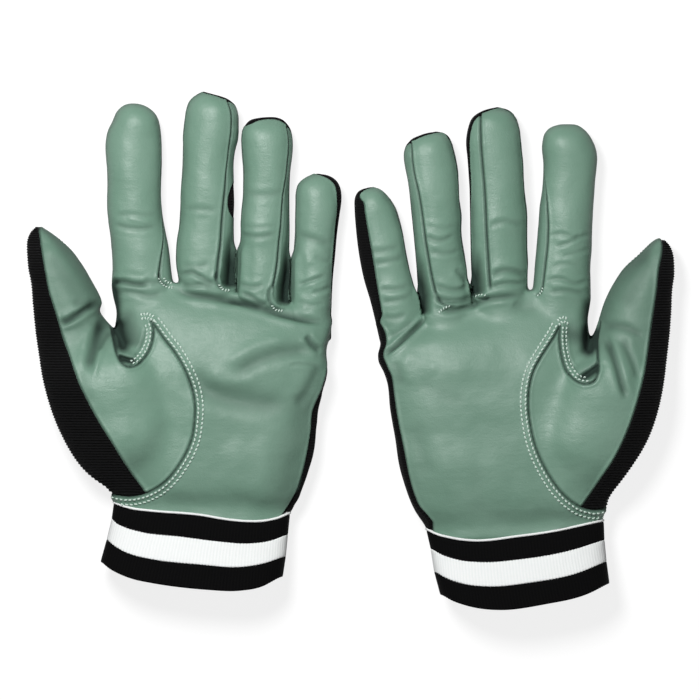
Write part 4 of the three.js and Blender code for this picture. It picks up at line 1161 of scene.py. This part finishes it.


# The sewn hand. Palm, thumb inset, knit back and the thumb's knit side ride with the hand. The parts beyond
# the folds at the fingers and thumb are panels of their own.
sides = ("left", "right")
forms = {}
for side in sides:
    skin, faces = cut_panels(side)
    skin, faces = cut_ribs(skin, faces)
    hem = above_wrist(side)
    skin, faces = cut_along(skin, faces, hem)
    faces = faces[hem(skin)[faces].mean(axis=1) > 0]
    points, normals, painted_shade = emboss(side, skin, faces)
    forms[side] = points, normals, painted_shade, faces, skin[:, column["ribs"]]
    middle = {name: skin[:, at][faces].mean(axis=1) for name, at in column.items()}
    hand, thumb = f"{side}_hand", f"{side}_thumb"
    on_thumb = middle["thumb_seam"] < 0
    beyond_thumb = on_thumb & (middle["thumb_fold"] > 0)
    beyond_finger = ~on_thumb & (middle["fold"] > 0)
    on_hand = ~beyond_thumb & ~beyond_finger
    is_leather = np.where(on_thumb, middle["thumb_knit"], middle["knit"]) > 0

    hand_panels = (
        ("palm", "palm_leather", on_hand & ~on_thumb & is_leather, leather, "leather"),
        ("knit_back", "back_knit", on_hand & ~on_thumb & ~is_leather, knit, "knit"),
        ("thumb_inset", "thumb_base_leather", on_hand & on_thumb & is_leather, leather, "leather"),
        ("thumb_knit_side", "thumb_side_knit", on_hand & on_thumb & ~is_leather, knit, "knit"),
    )
    for name, solid, chosen, finish, slot in hand_panels:
        made = panel(f"{side}_{name}", forms[side], chosen, finish)
        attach(made, hand)
        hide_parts(f"{side}_{solid}")
    thumb_panels = (
        ("thumb_front", "thumb_front_leather", beyond_thumb & is_leather, leather, "leather"),
        ("thumb_back", "thumb_back_knit", beyond_thumb & ~is_leather, knit, "knit"),
    )
    for name, solid, chosen, finish, slot in thumb_panels:
        made = panel(f"{side}_{name}", forms[side], chosen, finish)
        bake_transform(made)
        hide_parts(f"{side}_{solid}")
    for number, finger in enumerate(finger_names):
        on_finger = beyond_finger & (np.round(middle["finger"]) == number)
        front_little, front_thumb = middle["front_little"] > 0, middle["front_thumb"] > 0
        finger_panels = (
            ("front", "front_leather", is_leather & front_little & front_thumb, leather, "leather"),
            ("little_side_strip", "little_side_strip", is_leather & ~front_little, leather, "leather"),
            ("thumb_side_strip", "thumb_side_strip", is_leather & front_little & ~front_thumb, leather,
             "leather"),
            ("back", "back_knit", ~is_leather, knit, "knit"),
        )
        for name, solid, chosen, finish, slot in finger_panels:
            if f"{side}_{finger}_{solid}" in frame["nodes"]:
                made = panel(f"{side}_{finger}_{name}_panel", forms[side], on_finger & chosen, finish)
                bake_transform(made)
                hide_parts(f"{side}_{finger}_{solid}")


# The piping: a thin white cord sewn between the hand and the cuff, with the twist of the cord showing as
# fine diagonal steps.
piping_radius, piping_corners, piping_steps = 0.62, 10, 460
piping_twist, piping_dent = 1.6, 0.05
# It lies inside the wrist's ring and below it by these shares of its radius. Its hollows get painted shade.
piping_inset, piping_drop, piping_painted_shade = 0.35, 0.9, 0.5
# The second white is the shade painted into hollows.
white_colour, white_painted_shade = (0.95, 0.965, 0.96), (0.87, 0.9, 0.89)


def make_white(name, rib_label):
    """White yarn, painted a little greyer as shade where the piece is hollow."""
    made, nodes, links, shader = material(name, 0.78, white_colour)
    shader.inputs["Sheen Weight"].default_value = 0.1
    shader.inputs["Specular IOR Level"].default_value = 0.3
    place = nodes.new("ShaderNodeTexCoord").outputs["Object"]
    ribs = node(nodes, "ShaderNodeAttribute", attribute_name=rib_label)
    yarn = node(nodes, "ShaderNodeTexNoise", Scale=2200.0, Detail=3.0, Roughness=0.6)
    links.new(place, yarn.inputs["Vector"])
    colour = blend_colours(nodes, links, ribs.outputs["Fac"], white_colour, white_painted_shade)
    links.new(colour, shader.inputs["Base Color"])
    bump = node(nodes, "ShaderNodeBump", Strength=0.45, Distance=0.0002)
    links.new(yarn.outputs["Fac"], bump.inputs["Height"])
    links.new(bump.outputs["Normal"], shader.inputs["Normal"])
    return made


white = make_white("white elastic", "hollow")


def closed_rows(rows, columns):
    """Squares of a sheet of points that closes on itself in both directions."""
    row, at = np.meshgrid(np.arange(rows), np.arange(columns), indexing="ij")
    next_row, next_at = (row + 1) % rows, (at + 1) % columns
    corners = (row, at), (row, next_at), (next_row, next_at), (next_row, at)
    return np.column_stack([(r * columns + c).ravel() for r, c in corners])


def cord_round(ring_points, radius, corners, twist, dent):
    """A cord along a closed ring, and how hollow each of its points is."""
    ahead = np.roll(ring_points, -1, axis=0) - np.roll(ring_points, 1, axis=0)
    ahead /= np.linalg.norm(ahead, axis=1)[:, None]
    out = np.cross(ahead, [0, 1, 0])
    out /= np.linalg.norm(out, axis=1)[:, None]
    other = np.cross(ahead, out)
    step = np.linalg.norm(np.roll(ring_points, -1, axis=0) - ring_points, axis=1)
    turns = np.round(step.sum() / twist) * 2 * np.pi * np.cumsum(step) / step.sum()
    angle = np.linspace(0, 2 * np.pi, corners, endpoint=False)
    hollow = 0.5 + 0.5 * np.cos(2 * angle[:, None] + turns[None, :])
    size = radius - dent * hollow
    sheet = (ring_points[None] + np.cos(angle)[:, None, None] * out[None] * size[..., None]
             + np.sin(angle)[:, None, None] * other[None] * size[..., None])
    return sheet.reshape(-1, 3), closed_rows(corners, len(ring_points)), hollow.ravel()


for side in sides:
    seat = wrist_ring(wrist_fronts[side], wrist_height, piping_steps, piping_radius * piping_inset)
    seat[:, 1] -= piping_radius * piping_drop
    seat[:, 2] = np.maximum(seat[:, 2], piping_radius)
    points, faces, hollow = cord_round(seat, piping_radius, piping_corners, piping_twist, piping_dent)
    piping = piece(f"{side}_piping", points, faces, white, {"hollow": hollow * piping_painted_shade})
    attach(piping, f"{side}_hand")
    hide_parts(f"{side}_wrist_piping")


# The cuff: one wide tube of knitted elastic in black, white and black, with fine ribs along the glove. Each
# colour is a band here, and its ribs end in small teeth where the colours meet.
cuff_thickness, cuff_rib_pitch, cuff_rib_height, tooth_length = 1.8, 1.5, 0.13, 0.5
cuff_heights = (23.5, 27.2, 31.2, 35)
points_per_rib, rough_points = 4, 200
# The teeth are at a band's two edges, further from its middle than this share of its length. Between its
# ribs a band is painted darker as shade, by the second number.
tooth_zone, band_painted_shade = 0.47, 0.9
cuff_fronts = {
    "left": [
        [(113.8, 503.5), (118, 506), (124, 508.5), (132, 510.3), (150, 512), (200, 516), (230, 521),
         (250, 523), (265, 523), (280, 520), (290, 514.5)],
        [(111.8, 518.5), (116, 524), (125, 528), (140, 531.6), (180, 535.5), (220, 540.5), (250, 543),
         (272, 540.8), (288, 534.5)],
        [(107, 539), (113, 545.5), (120, 550), (132, 554.6), (150, 558), (200, 563), (245, 566), (268, 562.5),
         (286, 556)],
        [(101, 561), (109, 568.5), (120, 574), (134, 578.3), (150, 581), (210, 588), (240, 589.6), (262, 587),
         (283, 576)],
    ],
    "right": [
        [(426.4, 530.5), (434, 536), (450, 540), (470, 542), (520, 537), (550, 533), (590, 525),
         (603.8, 522)],
        [(430.5, 548.5), (438, 554), (455, 559.5), (480, 561.3), (520, 558), (575, 548.5), (604.3, 539.5)],
        [(434, 571.5), (444, 578), (460, 583), (490, 585.2), (530, 581), (580, 571.5), (606.3, 561)],
        [(440, 594), (450, 600.5), (465, 605), (500, 608), (545, 602), (590, 592), (609, 582.5)],
    ],
}
# Between the ribs the black is painted deeper as shade.
elastic_colour, elastic_valley_painted_shade = (0.0024, 0.0024, 0.0026), (0.001, 0.001, 0.0012)


def make_elastic():
    """Black elastic yarn, painted deeper black between the ribs as shade."""
    made, nodes, links, shader = material("black elastic", 0.9, elastic_colour)
    shader.inputs["Specular IOR Level"].default_value = 0.1
    place = nodes.new("ShaderNodeTexCoord").outputs["Object"]
    ribs = node(nodes, "ShaderNodeAttribute", attribute_name="hollow")
    yarn = node(nodes, "ShaderNodeTexNoise", Scale=2400.0, Detail=3.0, Roughness=0.6)
    links.new(place, yarn.inputs["Vector"])
    colour = blend_colours(nodes, links, ribs.outputs["Fac"], elastic_colour, elastic_valley_painted_shade)
    links.new(colour, shader.inputs["Base Color"])
    bump = node(nodes, "ShaderNodeBump", Strength=0.5, Distance=0.0002)
    links.new(yarn.outputs["Fac"], bump.inputs["Height"])
    links.new(bump.outputs["Normal"], shader.inputs["Normal"])
    return made


elastic = make_elastic()
# A band's section, from its upper edge down the outside and back up the inside: share of its length,
# depth below its outer face as a share of its thickness, and how much of the ribs shows there.
band_section = [(0.0, 0.5, 0), (0.0, 0.25, 0.5), (0.012, 0.1, 0.8), (0.04, 0.02, 1), (0.1, 0, 1),
                (0.22, 0, 1), (0.34, 0, 1), (0.5, 0, 1), (0.66, 0, 1), (0.78, 0, 1), (0.9, 0, 1),
                (0.96, 0.02, 1), (0.988, 0.1, 0.8), (1.0, 0.25, 0.5), (1.0, 0.5, 0), (0.985, 0.9, 0),
                (0.93, 1, 0.3), (0.5, 1, 0.5), (0.07, 1, 0.3), (0.015, 0.9, 0)]


def elastic_band(upper, lower, upper_height, lower_height):
    """A ribbed band between two rings round the wrist, and how hollow each of its points is."""
    rough = wrist_ring(upper, upper_height, rough_points)
    around = np.linalg.norm(np.roll(rough, -1, axis=0) - rough, axis=1).sum()
    count = int(round(around / cuff_rib_pitch)) * points_per_rib
    a, b = wrist_ring(upper, upper_height, count), wrist_ring(lower, lower_height, count)
    length = np.linalg.norm(b - a, axis=1).mean()
    ahead = np.roll(a + b, -1, axis=0) - np.roll(a + b, 1, axis=0)
    out = np.cross(ahead, b - a)
    out /= np.linalg.norm(out, axis=1)[:, None]
    if ((a - a.mean(axis=0)) * out).sum() < 0:
        out = -out
    crest = 0.5 + 0.5 * np.cos(np.arange(count) * np.pi / (points_per_rib / 2))
    rows, hollow = [], []
    for share, depth, ribbed in band_section:
        tooth = (crest - 0.5) * tooth_length / length * ribbed * (1 if share > 0.5 else -1)
        tooth = tooth if abs(share - 0.5) > tooth_zone else np.zeros(count)
        at = (share + tooth)[:, None]
        face = -depth * cuff_thickness + (crest - 1) * cuff_rib_height * ribbed
        rows.append(a * (1 - at) + b * at + out * face[:, None])
        hollow.append((1 - crest) * band_painted_shade)
    points = np.vstack(rows)
    points[:, 2] = np.maximum(points[:, 2], 0)
    return points, closed_rows(len(band_section), count), np.concatenate(hollow)


cuff_bands = (("upper_black", elastic, "elastic"), ("white_stripe", white, "white_trim"),
              ("lower_black", elastic, "elastic"))
for side in sides:
    for i, (name, finish, slot) in enumerate(cuff_bands):
        fronts, heights = cuff_fronts[side], cuff_heights
        points, faces, hollow = elastic_band(fronts[i], fronts[i + 1], heights[i], heights[i + 1])
        band = piece(f"{side}_cuff_band_{name}", points, faces, finish, {"hollow": hollow})
        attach(band, f"{side}_hand")
        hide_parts(f"{side}_cuff_{name}")


# The facing: a soft grey tape sewn inside the wrist, which covers the seam of hand, piping and cuff.
# It is seen only through the cuff, and reaches this depth into the hand and this far into the cuff.
facing_colour, facing_thread = (0.022, 0.022, 0.023), (0.045, 0.045, 0.047)
facing_depth, facing_in_cuff, facing_inset, facing_thickness = 11, 3.5, 2.5, 0.9
facing_points = 240
# A point of its section is its share of the way down the tape, and how far inward it lies in thicknesses.
facing_section = [(0, 0), (0.02, -0.3), (0.3, -0.3), (0.6, -0.3), (0.98, -0.3), (1, 0), (0.98, 0.6),
                  (0.6, 0.6), (0.3, 0.6), (0.02, 0.6)]


def make_facing():
    """Grey tape with a fine weave."""
    made, nodes, links, shader = material("grey facing tape", 0.95, facing_colour)
    place = nodes.new("ShaderNodeTexCoord").outputs["Object"]
    weave = node(nodes, "ShaderNodeTexVoronoi", Scale=1300.0)
    links.new(place, weave.inputs["Vector"])
    colour = blend_colours(nodes, links, weave.outputs["Distance"], facing_colour, facing_thread)
    links.new(colour, shader.inputs["Base Color"])
    bump = node(nodes, "ShaderNodeBump", Strength=0.6, Distance=0.0003)
    links.new(weave.outputs["Distance"], bump.inputs["Height"])
    links.new(bump.outputs["Normal"], shader.inputs["Normal"])
    return made


facing_finish = make_facing()
for side in sides:
    lower = wrist_ring(cuff_fronts[side][0], cuff_heights[0], facing_points, facing_inset)
    lower[:, 1] -= facing_in_cuff
    upper = wrist_ring(wrist_fronts[side], wrist_height, facing_points, facing_inset)
    upper[:, 1] += facing_depth
    centre = (upper + lower).mean(axis=0) / 2
    inward = centre - (upper + lower) / 2
    inward[:, 1] = 0
    inward /= np.linalg.norm(inward, axis=1)[:, None]
    rows = [upper * (1 - share) + lower * share + inward * depth * facing_thickness
            for share, depth in facing_section]
    squares = closed_rows(len(rows), facing_points)
    facing = piece(f"{side}_facing_tape", np.vstack(rows), squares, facing_finish)
    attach(facing, f"{side}_hand")
    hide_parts(f"{side}_wrist_facing")


# The thread. Two rows of pale green stitches hold the thumb's inset down on the palm, two shorter rows turn
# back along its web, a bar tack closes the point, and small stitches close the ends of strips between the
# fingers. The stitches of a row are turned a little across it, in degrees, each row to its own side.
# The second green is the shade painted between the plies.
thread_colour, thread_painted_shade = (0.74, 0.88, 0.79), (0.5, 0.64, 0.56)
stitch_length, stitch_pitch, stitch_radius, stitch_lift = 1.8, 2.15, 0.46, 0.3
row_setbacks = (1.5, 3.7)
web_row_setbacks = (1.4, 3.1)
stitch_turn = 12
# The web's stitches are closer and shorter by these shares, and sew so many parts of its line out of so many.
web_pitch_share, web_length_share = 0.9, 0.85
web_sewn_parts, web_parts = 6, 11
# A stitch has so many rings of so many corners. It is a little flat, dips into the leather at both ends, and
# narrows there.
stitch_rings, stitch_corners, stitch_flatness, stitch_dip, stitch_end = 7, 6, 0.8, 1.6, 0.04
# Stitches drop onto the leather from this height, and run as their line does this far ahead and behind.
above_all, look_ahead = 100, 0.3
# A bar tack is a row of close stitches set across its line.
bar_tacks = {"left": [[(140.5, 315), (147, 314), (154, 316.5)], [(141.5, 319), (148, 318.2), (155, 321)]],
             "right": [[(556.5, 321.5), (561.5, 317.5), (567.5, 319)],
                       [(558, 325.5), (562.5, 321.8), (567.5, 323.5)]]}
bar_tack_pitch, bar_tack_length = 1.45, 1.7
# Its stitches are turned by the first angle, and every second one by the next angle as well.
bar_tack_turn, bar_tack_zigzag = 78, 24
# The small rows close the ends of the strips.
small_rows = {
    "left": [[(158.5, 278), (162, 284), (168, 287.5), (175, 287)], [(164, 277.5), (167, 282), (173, 283.5)],
             [(219, 284), (223, 289.5), (229, 290.5)], [(271.5, 305), (276, 310), (283, 311)]],
    "right": [[(438, 313), (443, 309), (451, 305.5)], [(475, 296.5), (481, 295), (487, 296)],
              [(537, 296.5), (541.5, 292), (543, 286)]],
}
small_stitch_length, small_stitch_pitch, small_stitch_radius, small_stitch_turn = 1.6, 1.35, 0.34, 68


def make_thread():
    """Pale green thread with the twist of its plies, painted darker between them as shade."""
    made, nodes, links, shader = material("pale green thread", 0.6, thread_colour)
    shader.inputs["Sheen Weight"].default_value = 0.15
    place = nodes.new("ShaderNodeTexCoord").outputs["Object"]
    ply = node(nodes, "ShaderNodeTexWave", Scale=900.0, Distortion=1.5, Detail=1.0,
               bands_direction="DIAGONAL")
    links.new(place, ply.inputs["Vector"])
    colour = blend_colours(nodes, links, ply.outputs["Fac"], thread_painted_shade, thread_colour)
    links.new(colour, shader.inputs["Base Color"])
    bump = node(nodes, "ShaderNodeBump", Strength=0.5, Distance=0.0001)
    links.new(ply.outputs["Fac"], bump.inputs["Height"])
    links.new(bump.outputs["Normal"], shader.inputs["Normal"])
    return made


thread = make_thread()


def beside(line, distance):
    """A line on the table moved to its left."""
    ahead = np.gradient(line, axis=0)
    ahead /= np.linalg.norm(ahead, axis=1)[:, None]
    return line + distance * np.column_stack([-ahead[:, 1], ahead[:, 0]])


def evenly(line, pitch):
    """Places along a line, a pitch apart, and the way it runs there."""
    step = np.linalg.norm(np.diff(line, axis=0), axis=1)
    length = np.append(0, np.cumsum(step))
    at = np.arange(pitch / 2, length[-1], pitch)

    def place_at(lengths):
        return np.column_stack([np.interp(lengths, length, line[:, k]) for k in range(2)])

    ahead = place_at(at + look_ahead) - place_at(at - look_ahead)
    return place_at(at), ahead / np.linalg.norm(ahead, axis=1)[:, None]


def sew(name, surface, placed, length=stitch_length, radius=stitch_radius):
    """Stitches on a surface, each given by its place and the way it runs, in one piece."""
    angle = np.linspace(0, 2 * np.pi, stitch_corners, endpoint=False)
    points, faces = [], []
    for place, ahead in placed:
        hit, up = surface.ray_cast(Vector((*place, above_all)), Vector((0, 0, -1)))[:2]
        if hit is None:
            continue
        hit, up = np.array(hit), np.array(up)
        run = np.array([*ahead, 0]) - (np.array([*ahead, 0]) @ up) * up
        run /= np.linalg.norm(run)
        sideways = np.cross(up, run)
        rings = []
        for bend in np.linspace(-1, 1, stitch_rings):
            size = radius * np.sqrt(max(1 - bend**4, stitch_end))
            centre = hit + run * bend * length / 2 + up * (stitch_lift * (1 - stitch_dip * bend**2))
            across = np.cos(angle)[:, None] * sideways
            rings.append(centre + size * (across + np.sin(angle)[:, None] * stitch_flatness * up))
        tube_points, tube_faces = tube(rings)
        start = sum(len(p) for p in points)
        points.append(tube_points)
        faces += [[start + corner for corner in face] for face in tube_faces]
    return piece(name, np.vstack(points), faces, thread)


def turned(ahead, degrees):
    """A direction on the table, or rows of them, turned to the left."""
    turn = np.radians(degrees)
    return ahead @ np.array([[np.cos(turn), np.sin(turn)], [-np.sin(turn), np.cos(turn)]])


for side in sides:
    points, _, _, faces, _ = forms[side]
    surface = BVHTree.FromPolygons(points.tolist(), faces.tolist())
    seam, web = lay(curve(thumb_seams[side])), lay(curve(web_seams[side]))
    out = little_side[side]
    rows = []
    for i, setback in enumerate(row_setbacks):
        place, ahead = evenly(beside(seam, out * setback), stitch_pitch)
        shown = seam[-1, 0] * out < place[:, 0] * out
        rows.append(list(zip(place[shown], turned(ahead[shown], out * stitch_turn * (-1) ** i))))
    for name, row in zip(("inner", "outer"), rows):
        made = sew(f"{side}_thumb_{name}_row", surface, row)
        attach(made, f"{side}_hand")
        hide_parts(f"{side}_thumb_thread_{name}")
    web_stitches = []
    sewn = web[: len(web) * web_sewn_parts // web_parts]
    for i, setback in enumerate(web_row_setbacks):
        place, ahead = evenly(beside(sewn, -out * setback), stitch_pitch * web_pitch_share)
        web_stitches += list(zip(place, turned(ahead, stitch_turn * (-1) ** i)))
    made = sew(f"{side}_web_rows", surface, web_stitches, stitch_length * web_length_share)
    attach(made, f"{side}_hand")
    tack_stitches = []
    for line in bar_tacks[side]:
        place, ahead = evenly(lay(curve(line)), bar_tack_pitch)
        for i in range(len(place)):
            tack_stitches.append((place[i], turned(ahead[i], bar_tack_turn + bar_tack_zigzag * (i % 2))))
    made = sew(f"{side}_bar_tack", surface, tack_stitches, bar_tack_length)
    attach(made, f"{side}_hand")
    small_stitches = []
    for line in small_rows[side]:
        place, ahead = evenly(lay(curve(line)), small_stitch_pitch)
        small_stitches += list(zip(place, turned(ahead, small_stitch_turn)))
    made = sew(f"{side}_strip_end_rows", surface, small_stitches, small_stitch_length, small_stitch_radius)
    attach(made, f"{side}_hand")


# The table and the light: a plain pale surface, a broad soft lamp above on the left, a weaker one on the
# right, and an even pale room. The camera looks straight down from far away, so that the pair keeps its
# drafted outline. These lengths are in metres, but for the table's, which are in millimetres.
camera_distance, picture_width, outline_height = 4.0, 0.33587, 0.010
table_reach, table_drop = 3000, -0.05
table_colour, table_light = (0.25, 0.25, 0.25), 0.82
room_light = 0.07
picture_middle = (350, 350)


def make_table():
    """A pale surface that looks almost white to the camera and in reflections, and still takes shadows."""
    made, nodes, links, shader = material("pale table", 0.9, table_colour)
    shader.inputs["Specular IOR Level"].default_value = 0.0
    path = nodes.new("ShaderNodeLightPath")
    seen = node(nodes, "ShaderNodeMath", operation="MAXIMUM")
    clear = node(nodes, "ShaderNodeMath", operation="MAXIMUM")
    links.new(path.outputs["Is Camera Ray"], seen.inputs[0])
    links.new(path.outputs["Is Glossy Ray"], seen.inputs[1])
    links.new(seen.outputs["Value"], clear.inputs[0])
    links.new(path.outputs["Is Transmission Ray"], clear.inputs[1])
    bright = node(nodes, "ShaderNodeMath", operation="MULTIPLY")
    bright.inputs[1].default_value = table_light
    links.new(clear.outputs["Value"], bright.inputs[0])
    links.new(bright.outputs["Value"], shader.inputs["Emission Strength"])
    shader.inputs["Emission Color"].default_value = (1, 1, 1, 1)
    return made


table_points = np.array([[x * table_reach, y * table_reach, table_drop]
                         for x, y in ((-1, -1), (1, -1), (1, 1), (-1, 1))])
table = piece("table", table_points, np.array([[0, 1, 2, 3]]), make_table())


def soft_lamp(name, place, size, watts):
    """A round lamp that shines at the middle of the pair."""
    data = bpy.data.lights.new(name, "AREA")
    data.shape, data.size, data.energy = "DISK", size, watts
    lamp = bpy.data.objects.new(name, data)
    lamp.location = place
    lamp.rotation_euler = (-Vector(place)).to_track_quat("-Z", "Y").to_euler()
    bpy.context.scene.collection.objects.link(lamp)


soft_lamp("key", place=(-0.24, 0.38, 0.88), size=0.32, watts=9.3)
soft_lamp("fill", place=(0.75, -0.3, 0.9), size=0.9, watts=1.6)
world = bpy.data.worlds.new("room")
bpy.context.scene.world = world
world.use_nodes = True
world.node_tree.nodes["Background"].inputs["Color"].default_value = (1, 1, 1, 1)
world.node_tree.nodes["Background"].inputs["Strength"].default_value = room_light

lens = bpy.data.cameras.new("camera")
camera = bpy.data.objects.new("camera", lens)
bpy.context.scene.collection.objects.link(camera)
lens.lens = lens.sensor_width * camera_distance / picture_width
camera.location = (0, 0, outline_height + camera_distance)
camera.location.x, camera.location.y = lay(picture_middle) / 1000
bpy.context.scene.camera = camera
bpy.context.scene.view_settings.view_transform = "Standard"
